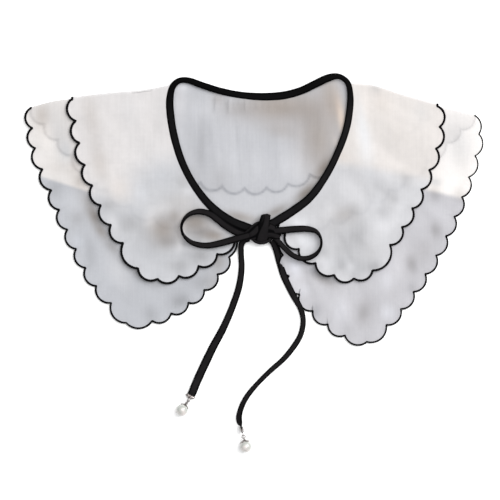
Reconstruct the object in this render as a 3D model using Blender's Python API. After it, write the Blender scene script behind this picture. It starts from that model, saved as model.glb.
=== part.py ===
"""Collar shawl: two sheer scalloped capes on one neck binding, laid flat, tied
with a bow whose tape ends carry metal crimps, jump rings and capped pearls.

Frame: +Z up, the collar lies on Z = 0, +Y points to the back of the neck, +X to
the wearer's left side as the collar lies face up. Tables are in millimetres.
"""

import math

import bmesh
import bpy
import numpy as np
from mathutils import Matrix, Vector

# ---------------------------------------------------------------- sizes, mm
MM = 0.001
ORIGIN = Vector((1.4, 1.02, 0.0))  # middle of the collar's box, in the tables' frame
WALL = 1.0  # cloth wall
GAP = 0.3  # between pieces that touch

AXIS_Z = 2 * WALL + 1.5 * GAP  # height about which the capes fold at the shoulders
LONG_R = 0.5 * (WALL + GAP)  # middle of the long cape's wall in its fold
SHORT_R = LONG_R + WALL + GAP  # the short cape folds round the long one
BEND_STEPS = 6

BAND_T = 2 * WALL + 2 * GAP  # binding, as thick as both capes and their gaps
BAND_REST = 0.03  # its underside at the back stands this high
BAND_RISE_FROM = 20.0  # distances from centre back along the binding
BAND_RISE_TO = 54.0
CORNER_LEFT = 73.0  # past these the back panels run on under the binding to
CORNER_RIGHT = 67.0  # the shoulder folds
SHORT_LIFT = 1.35  # the short cape's folds stand this much higher

SCALLOP_SEGMENTS = 5
ROWS = (0.0, 0.10, 0.26, 0.44, 0.62, 0.78, 0.90, 1.0)  # neck to hem

PEARL_R = 5.0
CAP_WALL = 0.5
CAP_ANGLE = math.radians(33)
LINK_R = 1.4  # jump ring, middle of the wire
EYE_R = 0.9  # loop of the crimp and eye of the cap
WIRE = 0.25
CRIMP_W = 7.2
CRIMP_T = 3.0
CRIMP_SLOT = 2.0

# ---------------------------------------------------------------- tables, mm
# Neck binding, middle line, from the bow up the left front, round the back and
# down the right front: x, y, width
NECK = (
    (-1.8, -15.6, 7.4),
    (-18.8, -8.6, 7.4),
    (-34.2, 2.6, 7.0),
    (-48.2, 19.3, 6.4),
    (-59.2, 39.5, 6.3),
    (-66.3, 61.6, 6.5),
    (-69.7, 81.2, 6.7),
    (-70.2, 94.8, 6.4),
    (-67.8, 105.1, 5.4),
    (-62.5, 110.2, 4.9),
    (-54.8, 110.5, 5.2),
    (-43.8, 106.7, 5.7),
    (-27.6, 101.7, 5.6),
    (-9.8, 98.2, 5.9),
    (9.8, 96.8, 6.6),
    (27.6, 98.1, 7.0),
    (42.1, 102.2, 6.6),
    (54.0, 107.8, 6.6),
    (65.0, 112.8, 6.4),
    (73.5, 113.9, 4.5),
    (80.7, 108.8, 4.6),
    (83.1, 98.2, 5.3),
    (82.4, 83.7, 6.0),
    (79.4, 68.0, 6.0),
    (73.2, 51.0, 5.9),
    (62.9, 30.3, 6.1),
    (48.7, 10.9, 6.7),
    (33.7, -0.8, 7.3),
    (18.6, -10.2, 7.4),
)
NECK_BACK = 14  # row at centre back

# Fold of both capes over each shoulder, from the neck out: x, y
FOLD_LEFT = ((-71.8, 104.5), (-93.1, 100.7), (-125.4, 97.8), (-150.0, 94.8), (-170.4, 92.0), (-188.3, 87.1))
FOLD_RIGHT = ((85.4, 106.2), (102.4, 104.5), (127.1, 96.9), (156.8, 88.6), (176.4, 83.6), (189.1, 80.6))

# Scalloped edges, the line through the points of the scallops: x, y, scallops
# since the row before, how far they stand out as a share of their width
SHORT_FRONT_LEFT = (  # front opening to the fold
    (-15.0, -26.0, 0, 0.0),
    (-30.2, -37.0, 1, 0.24),
    (-62.5, -55.7, 2, 0.28),
    (-80.8, -58.2, 1, 0.27),
    (-97.3, -49.3, 1, 0.28),
    (-110.1, -27.6, 1, 0.27),
    (-120.3, -12.3, 1, 0.30),
    (-142.4, 38.7, 3, 0.29),
    (-153.4, 94.8, 3, 0.30),
)
SHORT_BACK = (  # left fold to right fold
    (-153.4, 94.8, 0, 0.0),
    (-114.3, 49.7, 3, 0.28),
    (-65.9, 27.6, 3, 0.28),
    (-44.2, 24.2, 1, 0.28),
    (-6.8, 19.1, 2, 0.30),
    (30.2, 22.9, 2, 0.30),
    (48.9, 31.0, 1, 0.28),
    (87.1, 42.9, 2, 0.28),
    (127.1, 66.7, 2, 0.28),
    (156.8, 88.6, 2, 0.28),
)
SHORT_FRONT_RIGHT = (  # fold to the front opening
    (156.8, 88.6, 0, 0.0),
    (158.9, 71.0, 1, 0.30),
    (150.0, 34.4, 2, 0.28),
    (127.1, -14.0, 3, 0.28),
    (116.9, -29.3, 1, 0.28),
    (102.0, -51.0, 1, 0.27),
    (86.3, -57.8, 1, 0.28),
    (69.3, -54.8, 1, 0.28),
    (39.5, -32.7, 2, 0.28),
    (27.8, -19.8, 1, 0.30),
    (21.2, -15.6, 1, 0.10),
)
LONG_FRONT_LEFT = (
    (-13.2, -26.8, 0, 0.0),
    (-20.0, -39.5, 1, 0.14),
    (-41.2, -67.6, 2, 0.28),
    (-69.3, -87.5, 2, 0.28),
    (-85.4, -93.9, 1, 0.27),
    (-107.5, -95.6, 1, 0.25),
    (-120.3, -78.6, 1, 0.26),
    (-133.0, -64.2, 1, 0.27),
    (-150.0, -32.7, 2, 0.28),
    (-171.3, 17.4, 3, 0.29),
    (-184.9, 53.1, 2, 0.30),
    (-188.3, 87.1, 2, 0.32),
)
LONG_BACK = (
    (-188.3, 87.1, 0, 0.0),
    (-153.4, 47.2, 3, 0.28),
    (-122.8, 17.4, 2, 0.28),
    (-83.7, -6.4, 2, 0.28),
    (-37.8, -14.4, 2, 0.25),
    (8.1, -15.6, 2, 0.23),
    (47.2, -12.6, 2, 0.25),
    (84.6, -1.3, 2, 0.28),
    (130.5, 28.5, 3, 0.28),
    (164.5, 58.2, 2, 0.28),
    (189.1, 80.6, 2, 0.28),
)
LONG_FRONT_RIGHT = (
    (189.1, 80.6, 0, 0.0),
    (192.5, 65.0, 1, 0.22),
    (184.0, 28.5, 2, 0.26),
    (164.5, -21.7, 3, 0.27),
    (147.0, -54.0, 2, 0.27),
    (126.2, -83.7, 2, 0.27),
    (113.9, -97.3, 1, 0.27),
    (97.3, -111.8, 1, 0.27),
    (78.6, -106.2, 1, 0.27),
    (51.4, -85.4, 2, 0.28),
    (31.0, -55.7, 2, 0.30),
    (25.9, -37.8, 1, 0.30),
    (22.6, -26.6, 1, 0.12),
)

# Soft folds of the front panels, as long low ridges that both capes share:
# from x, y (neck end), to x, y (hem end), half width, height
RIDGES = (
    (-86.0, 84.0, -172.0, 34.0, 12.0, 0.8),
    (-72.0, 52.0, -146.0, -30.0, 14.0, 1.3),
    (-54.0, 14.0, -104.0, -78.0, 14.0, 1.2),
    (-34.0, -14.0, -52.0, -72.0, 11.0, 0.6),
    (96.0, 84.0, 178.0, 40.0, 12.0, 0.8),
    (86.0, 50.0, 158.0, -22.0, 14.0, 1.3),
    (68.0, 18.0, 120.0, -80.0, 14.0, 1.2),
    (48.0, -2.0, 74.0, -92.0, 12.0, 0.7),
)

# Bow, wound tape: x, y, z, width, thickness, roll in degrees
LOOP_LEFT = (
    (-2.4, -21.4, 6.4, 5.4, 1.4, 0),
    (-11.0, -19.4, 6.4, 6.0, 1.4, 2),
    (-22.8, -13.0, 6.5, 6.2, 1.4, 6),
    (-29.8, -7.4, 6.8, 6.0, 1.4, 10),
    (-36.0, -3.2, 7.1, 5.8, 1.4, 18),
    (-45.5, -1.4, 7.6, 5.6, 1.4, 30),
    (-54.0, -4.7, 8.0, 5.2, 1.7, 52),
    (-58.7, -11.8, 8.2, 5.2, 2.2, 78),
    (-58.1, -19.6, 8.1, 5.2, 2.1, 101),
    (-52.4, -26.4, 7.8, 5.4, 1.6, 130),
    (-45.5, -29.2, 7.5, 5.6, 1.4, 146),
    (-37.8, -29.8, 7.5, 5.8, 1.4, 152),
    (-27.6, -28.0, 7.9, 6.0, 1.4, 160),
    (-16.6, -24.9, 8.8, 6.0, 1.4, 170),
    (-8.1, -22.6, 9.1, 6.0, 1.4, 178),
    (-2.4, -21.0, 8.9, 5.6, 1.4, 180),
)
LOOP_RIGHT = (
    (18.2, -17.4, 8.0, 6.0, 1.4, 0),
    (24.8, -17.0, 7.7, 6.0, 1.4, -4),
    (36.1, -15.9, 7.2, 5.8, 1.4, -10),
    (46.3, -15.8, 7.4, 5.6, 1.4, -24),
    (54.0, -18.0, 7.8, 5.2, 1.6, -50),
    (57.8, -23.4, 8.1, 5.0, 2.0, -80),
    (58.0, -30.2, 8.1, 5.0, 2.0, -98),
    (54.6, -36.3, 7.7, 5.0, 1.5, -125),
    (48.0, -40.2, 7.2, 4.9, 1.4, -146),
    (40.8, -40.7, 7.0, 4.8, 1.4, -155),
    (34.4, -38.2, 6.8, 4.8, 1.4, -162),
    (27.6, -32.6, 6.5, 4.6, 1.4, -170),
    (22.6, -27.0, 6.3, 4.4, 1.4, -176),
    (17.8, -22.4, 6.2, 4.2, 1.4, -180),
)
TAIL_LEFT = (
    (-2.8, -24.0, 3.7, 4.6, 1.4, 0),
    (-7.4, -25.6, 3.6, 4.6, 1.4, 0),
    (-9.5, -29.6, 2.8, 4.4, 1.6, 0),
    (-9.7, -36.0, 1.6, 4.4, 1.8, 0),
    (-9.2, -48.4, 1.0, 4.6, 1.8, 0),
    (-11.3, -64.2, 0.95, 5.2, 1.8, 0),
    (-17.1, -82.0, 0.95, 5.3, 1.7, 0),
    (-24.8, -99.9, 0.9, 5.8, 1.6, 0),
    (-33.9, -116.9, 0.9, 6.4, 1.5, 0),
    (-43.2, -136.4, 1.0, 6.7, 1.4, 0),
    (-48.2, -147.6, 1.4, 6.6, 1.4, 0),
    (-51.0, -154.6, 1.6, 6.4, 1.4, 0),
    (-53.1, -159.0, 1.6, 6.4, 1.4, 0),
)
TAIL_RIGHT = (
    (16.4, -25.6, 3.5, 4.6, 1.4, 0),
    (18.4, -29.0, 2.4, 4.9, 1.4, 0),
    (20.8, -35.0, 1.2, 5.2, 1.4, 0),
    (22.8, -43.0, 0.85, 5.2, 1.4, 0),
    (26.8, -55.7, 0.8, 5.3, 1.4, 0),
    (34.5, -71.8, 0.8, 4.9, 1.4, 0),
    (41.0, -83.7, 0.9, 4.2, 1.6, 0),
    (43.2, -93.9, 0.95, 4.0, 1.7, 0),
    (41.0, -105.8, 0.95, 4.2, 1.7, 0),
    (35.0, -116.0, 0.95, 4.3, 1.7, 0),
    (26.6, -126.2, 1.0, 4.1, 1.7, 2),
    (15.2, -136.4, 1.1, 3.8, 1.6, 8),
    (3.3, -148.3, 1.5, 3.7, 1.5, 18),
    (-5.5, -159.4, 2.0, 4.4, 1.4, 28),
    (-10.2, -169.6, 2.7, 5.2, 1.4, 40),
    (-11.5, -176.6, 3.3, 6.2, 1.4, 44),
    (-11.0, -180.0, 3.5, 6.2, 1.4, 48),
    (-10.2, -182.2, 3.7, 6.2, 1.4, 66),
    (-9.62, -183.7, 3.7, 6.2, 1.4, 90),
    (-8.95, -186.4, 3.7, 6.2, 1.4, 90),
)
# Knot, sections down its length: x, y, z, width, thickness, roll
KNOT = (
    (9.3, -4.0, 5.4, 7.6, 2.4, 0),
    (9.2, -5.2, 5.5, 9.6, 3.8, 0),
    (9.0, -9.0, 5.7, 10.4, 5.0, 0),
    (8.6, -13.0, 6.2, 12.4, 6.4, 0),
    (8.0, -17.0, 6.5, 15.6, 7.2, 0),
    (7.8, -21.0, 6.3, 16.4, 6.8, 0),
    (7.8, -24.6, 5.9, 14.6, 5.6, 0),
    (7.8, -26.8, 5.5, 11.0, 3.8, 0),
    (7.8, -27.8, 5.3, 7.4, 2.0, 0),
)

# Charms: centre of the crimp's loop, plan direction of the crimp, plan
# direction of ring and pearl, roll, height and length of the crimp
CHARM_LEFT = dict(loop=(-54.56, -161.95, 2.0), crimp=(-0.43, -0.90), hang=(-0.578, -0.816), roll=0.0, body_z=1.6, long=5.6)
CHARM_RIGHT = dict(loop=(-7.9, -190.9, 3.7), crimp=(0.22, -0.975), hang=(0.22, -0.975), roll=90.0, body_z=3.7, long=7.0)


# ---------------------------------------------------------------- curves
def curve(rows, step=1.0):
    """Smooth curve through rows (centripetal Catmull-Rom on x, y). Every column
    is carried along. Returns the points, their distance along the curve, and
    the distance at each row."""
    p = np.array(rows, float)
    q = np.vstack([2 * p[0] - p[1], p, 2 * p[-1] - p[-2]])
    out, marks = [], []
    for i in range(1, len(q) - 2):
        a, b, c, d = q[i - 1 : i + 3]
        t0 = 0.0
        t1 = t0 + max(np.linalg.norm((b - a)[:2]), 1e-3) ** 0.5
        t2 = t1 + max(np.linalg.norm((c - b)[:2]), 1e-3) ** 0.5
        t3 = t2 + max(np.linalg.norm((d - c)[:2]), 1e-3) ** 0.5
        n = max(2, int(round(np.linalg.norm((c - b)[:2]) / step)))
        marks.append(len(out))
        for k in range(n):
            t = t1 + (t2 - t1) * k / n
            a1 = (t1 - t) / (t1 - t0) * a + (t - t0) / (t1 - t0) * b
            a2 = (t2 - t) / (t2 - t1) * b + (t - t1) / (t2 - t1) * c
            a3 = (t3 - t) / (t3 - t2) * c + (t - t2) / (t3 - t2) * d
            b1 = (t2 - t) / (t2 - t0) * a1 + (t - t0) / (t2 - t0) * a2
            b2 = (t3 - t) / (t3 - t1) * a2 + (t - t1) / (t3 - t1) * a3
            out.append((t2 - t) / (t2 - t1) * b1 + (t - t1) / (t2 - t1) * b2)
    marks.append(len(out))
    out.append(p[-1])
    pts = np.array(out)
    arc = np.concatenate([[0.0], np.cumsum(np.linalg.norm(np.diff(pts[:, :2], axis=0), axis=1))])
    return pts, arc, [arc[m] for m in marks]


def at(pts, arc, s):
    """The curve's columns at distance s."""
    return np.array([np.interp(s, arc, pts[:, c]) for c in range(pts.shape[1])])


def left_of(pts, arc, s):
    """Unit vector to the left of the curve at distance s, in plan."""
    d = at(pts, arc, min(s + 0.6, arc[-1]))[:2] - at(pts, arc, max(s - 0.6, 0.0))[:2]
    d /= np.linalg.norm(d)
    return np.array([-d[1], d[0]])


def ramp(x):
    x = min(max(x, 0.0), 1.0)
    return x * x * (3 - 2 * x)


def scalloped(rows, side):
    """Scalloped edge through rows. side is +1 where the scallops stand out to
    the left of the way along it. Returns the points between scallops and, for
    each scallop, the points of its arc between them."""
    pts, arc, marks = curve([r[:2] for r in rows], 0.5)
    cusps, arcs = [pts[0][:2]], []
    for i in range(1, len(rows)):
        count, rise = rows[i][2], rows[i][3]
        for k in range(count):
            a = cusps[-1]
            b = at(pts, arc, marks[i - 1] + (marks[i] - marks[i - 1]) * (k + 1) / count)[:2]
            chord = np.linalg.norm(b - a)
            along = (b - a) / chord
            out = side * np.array([-along[1], along[0]])
            h = rise * chord
            radius = (chord * chord / 4 + h * h) / (2 * h)
            half = math.asin(min(chord / 2 / radius, 1.0))
            arcs.append(
                [
                    (a + b) / 2
                    + along * radius * math.sin(half * (2 * j / SCALLOP_SEGMENTS - 1))
                    + out * (radius * math.cos(half * (2 * j / SCALLOP_SEGMENTS - 1)) - (radius - h))
                    for j in range(1, SCALLOP_SEGMENTS)
                ]
            )
            cusps.append(b)
    return cusps, arcs


BAND, BAND_ARC, BAND_MARKS = curve(NECK, 1.0)
BACK_S = BAND_MARKS[NECK_BACK]


def band_lift(s):
    """0 where the binding lies on the surface at the back, 1 where it lies on
    the back panels at the front."""
    return ramp((abs(s - BACK_S) - BAND_RISE_FROM) / (BAND_RISE_TO - BAND_RISE_FROM))


def beside_band(s, side):
    """Point beside the binding: side +1 is just clear of its left edge, -1 of
    its right edge, 0 is under its middle."""
    x, y, width = at(BAND, BAND_ARC, s)
    return np.array([x, y]) + left_of(BAND, BAND_ARC, s) * side * (width / 2 + GAP)


def nearest_s(point):
    d = np.linalg.norm(BAND[:, :2] - np.array(point), axis=1)
    return BAND_ARC[int(np.argmin(d))]


def fold_distance(x, y):
    return min(
        float(np.min(np.hypot(axis[:, 0] - x, axis[:, 1] - y))) for axis in (FOLDS["left"][0], FOLDS["right"][0])
    )


FOLDS = {"left": curve(FOLD_LEFT, 2.0), "right": curve(FOLD_RIGHT, 2.0)}


def lift(x, y):
    """Height that the soft folds add to both front panels."""
    z = 0.0
    for x0, y0, x1, y1, half, height in RIDGES:
        dx, dy = x1 - x0, y1 - y0
        length = math.hypot(dx, dy)
        t = ((x - x0) * dx + (y - y0) * dy) / length / length
        off = ((x - x0) * dy - (y - y0) * dx) / length
        along = ramp((t + 0.15) / 0.55) * (1 - 0.35 * ramp((t - 0.75) / 0.4))
        spread = half * (0.75 + 0.5 * min(max(t, 0.0), 1.1))
        z += height * along * math.exp(-((off / spread) ** 2))
    z *= ramp((fold_distance(x, y) - 3.0) / 16.0)
    near = float(np.min(np.hypot(BAND[:, 0] - x, BAND[:, 1] - y)))
    return z * ramp((near - 4.0) / 14.0)


# ---------------------------------------------------------------- meshes
def material(name, colour, roughness, metallic=0.0, alpha=1.0):
    m = bpy.data.materials.new(name)
    m.use_nodes = True
    p = m.node_tree.nodes["Principled BSDF"]
    p.inputs["Base Color"].default_value = (*colour, 1.0)
    p.inputs["Roughness"].default_value = roughness
    p.inputs["Metallic"].default_value = metallic
    p.inputs["Alpha"].default_value = alpha
    m.diffuse_color = (*colour, 1.0)
    return m


def add(name, bm, mat, origin=ORIGIN):
    """Object from bm, whose points are in the tables' frame, with its origin at
    origin."""
    bmesh.ops.remove_doubles(bm, verts=bm.verts, dist=1e-4)
    bmesh.ops.recalc_face_normals(bm, faces=bm.faces)
    o = Vector(origin)
    for v in bm.verts:
        v.co = (v.co - o) * MM
    me = bpy.data.meshes.new(name)
    bm.to_mesh(me)
    bm.free()
    me.materials.append(mat)
    me.shade_smooth()
    me.set_sharp_from_angle(angle=math.radians(35))
    ob = bpy.data.objects.new(name, me)
    bpy.context.scene.collection.objects.link(ob)
    ob.location = (o - ORIGIN) * MM
    return ob


def on_fronts(rows):
    """Rows of tape that lies on the fronts, raised with their folds."""
    return [(r[0], r[1], r[2] + SHORT_LIFT * lift(r[0], r[1]), *r[3:]) for r in rows]


def sweep_bm(rows, sides=12, step=2.2, square=2.6, close_at=None):
    """Tape or binding: a flat rounded section carried along rows of x, y, z,
    width, thickness, roll."""
    pts, arc, _ = curve(rows, 0.5)
    n = max(6, int(round(arc[-1] / step)))
    ring_rows = [at(pts, arc, arc[-1] * k / n) for k in range(n + 1)]
    bm, rings = bmesh.new(), []
    for k, row in enumerate(ring_rows):
        p = Vector(row[:3])
        ahead = Vector(ring_rows[min(k + 1, n)][:3]) - Vector(ring_rows[max(k - 1, 0)][:3])
        t = ahead.normalized()
        s = Vector((0, 0, 1)).cross(t).normalized()
        u = t.cross(s)
        roll = Matrix.Rotation(math.radians(row[5]), 3, t)
        s, u = roll @ s, roll @ u
        ring = []
        for j in range(sides):
            a = 2 * math.pi * (j + 0.5) / sides
            ca, sa = math.cos(a), math.sin(a)
            x = row[3] / 2 * math.copysign(abs(ca) ** (2 / square), ca)
            y = row[4] / 2 * math.copysign(abs(sa) ** (2 / square), sa)
            ring.append(bm.verts.new(p + s * x + u * y))
        rings.append(ring)
    for a, b in zip(rings, rings[1:]):
        for j in range(sides):
            bm.faces.new((a[j], a[(j + 1) % sides], b[(j + 1) % sides], b[j]))
    bm.faces.new(rings[0])
    bm.faces.new(list(reversed(rings[-1])))
    bmesh.ops.triangulate(bm, faces=bm.faces)
    return bm


def cape_bm(front_left, back, front_right, radius, share):
    """One cape: a wall folded over both shoulders. Stations run from the left
    front opening to the right one. Each joins a point beside the binding to a
    point of the hem."""
    fl_cusps, fl_arcs = scalloped(front_left, 1)
    bk_cusps, bk_arcs = scalloped(back, -1)
    fr_cusps, fr_arcs = scalloped(front_right, 1)
    stations, neck_between, hem_between = [], [], []
    up, down = Vector((0, 0, 1)), Vector((0, 0, -1))
    z_front, z_back = AXIS_Z + radius, AXIS_Z - radius

    def front_point(xy):
        return Vector((xy[0], xy[1], z_front + share * lift(xy[0], xy[1]))), up

    def back_point(xy):
        return Vector((xy[0], xy[1], z_back)), down

    def panel(cusps, arcs, neck, place, first):
        """Stations of one flat panel; neck(t) gives the neck edge."""
        count = len(cusps) - 1
        for k, cusp in enumerate(cusps):
            if k or first:
                n = neck(k / count)
                column = [place(n + (np.array(cusp) - n) * f) for f in ROWS]
                stations.append(column)
            if k < count:
                neck_between.append([place(neck((k + f) / count)) for f in NECK_SHARE])
                hem_between.append([place(p) for p in arcs[k]])

    def bend(fold, turn, last_too):
        """Stations round the shoulder; turn runs from -1 (back) to 1 (front).
        The first and last lie on the flat panels' own fold lines."""
        pts, arc, _ = fold
        end = np.array(bk_cusps[0] if fold is FOLDS["left"] else bk_cusps[-1])
        reach = arc[int(np.argmin(np.linalg.norm(pts[:, :2] - end, axis=1)))]
        for a in turn:
            column = []
            for f in ROWS:
                s = reach * f
                xy = at(pts, arc, s)[:2]
                out = left_of(pts, arc, s)
                if out[1] < 0:
                    out = -out
                d = Vector((out[0] * math.cos(a), out[1] * math.cos(a), math.sin(a)))
                column.append((Vector((xy[0], xy[1], AXIS_Z)) + d * radius, d))
            stations.append(column)

    NECK_SHARE = (0.34, 0.67)
    s_left, s_right = nearest_s(FOLD_LEFT[0]), nearest_s(FOLD_RIGHT[0])
    left_end, right_end = 7.0, BAND_ARC[-1] - 4.0

    def left_neck(t):
        s = left_end + (s_left - 1.5 - left_end) * min(t / 0.985, 1.0)
        p = beside_band(s, 1)
        return p if t < 0.985 else p + (np.array(FOLD_LEFT[0]) - p) * (t - 0.985) / 0.015

    def right_neck(t):
        s = s_right + 1.5 + (right_end - s_right - 1.5) * max((t - 0.015) / 0.985, 0.0)
        p = beside_band(s, 1)
        return p if t > 0.015 else p + (np.array(FOLD_RIGHT[0]) - p) * (0.015 - t) / 0.015

    turns = [math.pi * (k / BEND_STEPS - 0.5) for k in range(BEND_STEPS + 1)]

    # left front
    panel(fl_cusps, fl_arcs, left_neck, front_point, True)
    stations.pop()
    # left shoulder, front to back
    bend(FOLDS["left"], list(reversed(turns)), True)
    neck_between.extend([[]] * BEND_STEPS)
    hem_between.extend([[]] * BEND_STEPS)
    # back: the neck edge follows the binding's inner side and runs on under it
    count = len(bk_cusps) - 1
    hem_xy = np.array(bk_cusps)
    hem_arc = np.concatenate([[0], np.cumsum(np.linalg.norm(np.diff(hem_xy, axis=0), axis=1))])
    mid = hem_arc[int(np.argmin(np.abs(hem_xy[:, 0] - 9.8)))]

    def back_neck(t):
        """t is 0 at the left fold, 0.5 at centre back, 1 at the right fold."""
        left = t < 0.5
        u = t / 0.5 if left else (1 - t) / 0.5
        corner = BACK_S - CORNER_LEFT if left else BACK_S + CORNER_RIGHT
        start = np.array(FOLD_LEFT[0] if left else FOLD_RIGHT[0])
        if u < 0.08:
            return start + (beside_band(corner, -1) - start) * u / 0.08
        return beside_band(corner + (BACK_S - corner) * (u - 0.08) / 0.92, -1)

    def spread(k):
        """Hem share to neck share, so that both halves use their own length."""
        h = np.interp(k, range(count + 1), hem_arc)
        return 0.5 * h / mid if h <= mid else 0.5 + 0.5 * (h - mid) / (hem_arc[-1] - mid)

    back_first = len(neck_between)
    back_last = back_first + count - 1
    for k in range(count + 1):
        if 0 < k < count:
            n = back_neck(spread(k))
            stations.append([back_point(n + (hem_xy[k] - n) * f) for f in ROWS])
        if k < count:
            extra = 5 if k in (0, 1, count - 2, count - 1) else 3
            neck_between.append([back_point(back_neck(spread(k + j / extra))) for j in range(1, extra)])
            hem_between.append([back_point(p) for p in bk_arcs[k]])
    # right shoulder, back to front
    bend(FOLDS["right"], turns, True)
    neck_between.extend([[]] * BEND_STEPS)
    hem_between.extend([[]] * BEND_STEPS)
    # right front
    panel(fr_cusps, fr_arcs, right_neck, front_point, False)

    bm = bmesh.new()

    def pair(point):
        p, d = point
        return bm.verts.new(p + d * WALL / 2), bm.verts.new(p - d * WALL / 2)

    grid = [[pair(c) for c in column] for column in stations]
    necks = [[pair(c) for c in cell] for cell in neck_between]
    hems = [[pair(c) for c in cell] for cell in hem_between]
    last = len(ROWS) - 1
    for face in (0, 1):

        def fan(edge, a, b, share=0.5):
            """Triangles between a run of edge points and two inner points;
            share of the run goes to the first of them."""
            turn = int(share * (len(edge) - 1)) if len(edge) > 2 else 1
            for i in range(len(edge) - 1):
                bm.faces.new((edge[i], edge[i + 1], a if i < turn else b))
            bm.faces.new((edge[turn], b, a))

        for k in range(len(grid) - 1):
            here, there = grid[k], grid[k + 1]
            share = {back_first: 0.0, back_last: 1.0}.get(k, 0.5)
            fan([here[0][face]] + [v[face] for v in necks[k]] + [there[0][face]], here[1][face], there[1][face], share)
            fan([here[last][face]] + [v[face] for v in hems[k]] + [there[last][face]], here[last - 1][face], there[last - 1][face])
            for j in range(1, last - 1):
                bm.faces.new((here[j][face], there[j][face], there[j + 1][face], here[j + 1][face]))
    for k in range(len(grid) - 1):
        for run in (
            [grid[k][0]] + necks[k] + [grid[k + 1][0]],
            [grid[k][last]] + hems[k] + [grid[k + 1][last]],
        ):
            for a, b in zip(run, run[1:]):
                bm.faces.new((a[0], b[0], b[1], a[1]))
    for column in (grid[0], grid[-1]):
        for a, b in zip(column, column[1:]):
            bm.faces.new((a[0], b[0], b[1], a[1]))
    bmesh.ops.triangulate(bm, faces=bm.faces)
    return bm


def frame_of(direction, axis):
    """Matrix whose X is direction and whose Z is axis."""
    x, z = Vector(direction).normalized(), Vector(axis).normalized()
    y = z.cross(x)
    return Matrix((x, y, z)).transposed()


def torus_bm(centre, turn, radius, wire, around=16, across=6):
    """Wire ring in the X-Y plane of turn."""
    bm, rings = bmesh.new(), []
    for k in range(around):
        a = 2 * math.pi * k / around
        ring = []
        for j in range(across):
            b = 2 * math.pi * (j + 0.5) / across
            r = radius + wire * math.cos(b)
            ring.append(
                bm.verts.new(Vector(centre) + turn @ Vector((r * math.cos(a), r * math.sin(a), wire * math.sin(b))))
            )
        rings.append(ring)
    for k in range(around):
        a, b = rings[k], rings[(k + 1) % around]
        for j in range(across):
            bm.faces.new((a[j], b[j], b[(j + 1) % across], a[(j + 1) % across]))
    return bm


def turned_bm(centre, axis, profile, around=20):
    """Solid turned about axis through centre; profile rows are (distance along
    the axis, radius), the first and last on the axis or closing on each other."""
    axis = Vector(axis).normalized()
    side = axis.orthogonal().normalized()
    bm = bmesh.new()
    verts = [bm.verts.new(Vector(centre) + axis * h + side * r) for h, r in profile]
    edges = [bm.edges.new((a, b)) for a, b in zip(verts, verts[1:])]
    bmesh.ops.spin(bm, geom=verts + edges, cent=Vector(centre), axis=axis, angle=2 * math.pi, steps=around, use_merge=True)
    bmesh.ops.remove_doubles(bm, verts=bm.verts, dist=1e-3)
    return bm


def prism_bm(centre, turn, outline, z0, z1):
    """Flat outline (x, y rows) in turn's plane, from z0 to z1."""
    bm = bmesh.new()
    low = [bm.verts.new(Vector(centre) + turn @ Vector((x, y, z0))) for x, y in outline]
    face = bm.faces.new(low)
    top = bmesh.ops.extrude_face_region(bm, geom=[face])
    moved = [g for g in top["geom"] if isinstance(g, bmesh.types.BMVert)]
    bmesh.ops.translate(bm, verts=moved, vec=turn @ Vector((0, 0, z1 - z0)))
    return bm


def guide(name, bm, mat):
    ob = add(name, bm, mat)
    ob.hide_render = True
    ob.display_type = "WIRE"
    return ob


def join(ob, other, how="UNION"):
    m = ob.modifiers.new(how.lower() + "_" + other.name, "BOOLEAN")
    m.operation = how
    m.solver = "EXACT"
    m.object = other


# ---------------------------------------------------------------- the object
for old in list(bpy.data.objects):
    bpy.data.objects.remove(old, do_unlink=True)

cloth_long = material("sheer cloth, long cape", (0.80, 0.81, 0.83), 0.75)
cloth_short = material("sheer cloth, short cape", (0.88, 0.87, 0.86), 0.75)
tape = material("black bias tape", (0.012, 0.012, 0.013), 0.7)
metal = material("silver metal", (0.72, 0.72, 0.72), 0.22, 1.0)
pearl = material("pearl", (0.90, 0.87, 0.83), 0.22)

add("long_cape", cape_bm(LONG_FRONT_LEFT, LONG_BACK, LONG_FRONT_RIGHT, LONG_R, 1.0), cloth_long)
add("short_cape", cape_bm(SHORT_FRONT_LEFT, SHORT_BACK, SHORT_FRONT_RIGHT, SHORT_R, SHORT_LIFT), cloth_short)

band_rows = []
for i in range(0, int(BAND_ARC[-1] // 6) + 1):
    s = BAND_ARC[-1] * i / (BAND_ARC[-1] // 6)
    x, y, width = at(BAND, BAND_ARC, s)
    band_rows.append((x, y, BAND_REST + BAND_T / 2 + (BAND_T - BAND_REST) * band_lift(s), width, BAND_T, 0.0))
add("neck_binding", sweep_bm(band_rows, sides=10, step=5.0, square=3.2), tape)

add("bow_knot", sweep_bm(KNOT, sides=16, step=2.4, square=2.4), tape)
add("loop_left", sweep_bm(on_fronts(LOOP_LEFT), sides=8, step=3.0, square=3.0), tape)
add("loop_right", sweep_bm(on_fronts(LOOP_RIGHT), sides=8, step=3.0, square=3.0), tape)
add("tail_left", sweep_bm(TAIL_LEFT, sides=8, step=4.0, square=3.0), tape)
add("tail_right", sweep_bm(TAIL_RIGHT, sides=8, step=2.6, square=3.0), tape)

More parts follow.
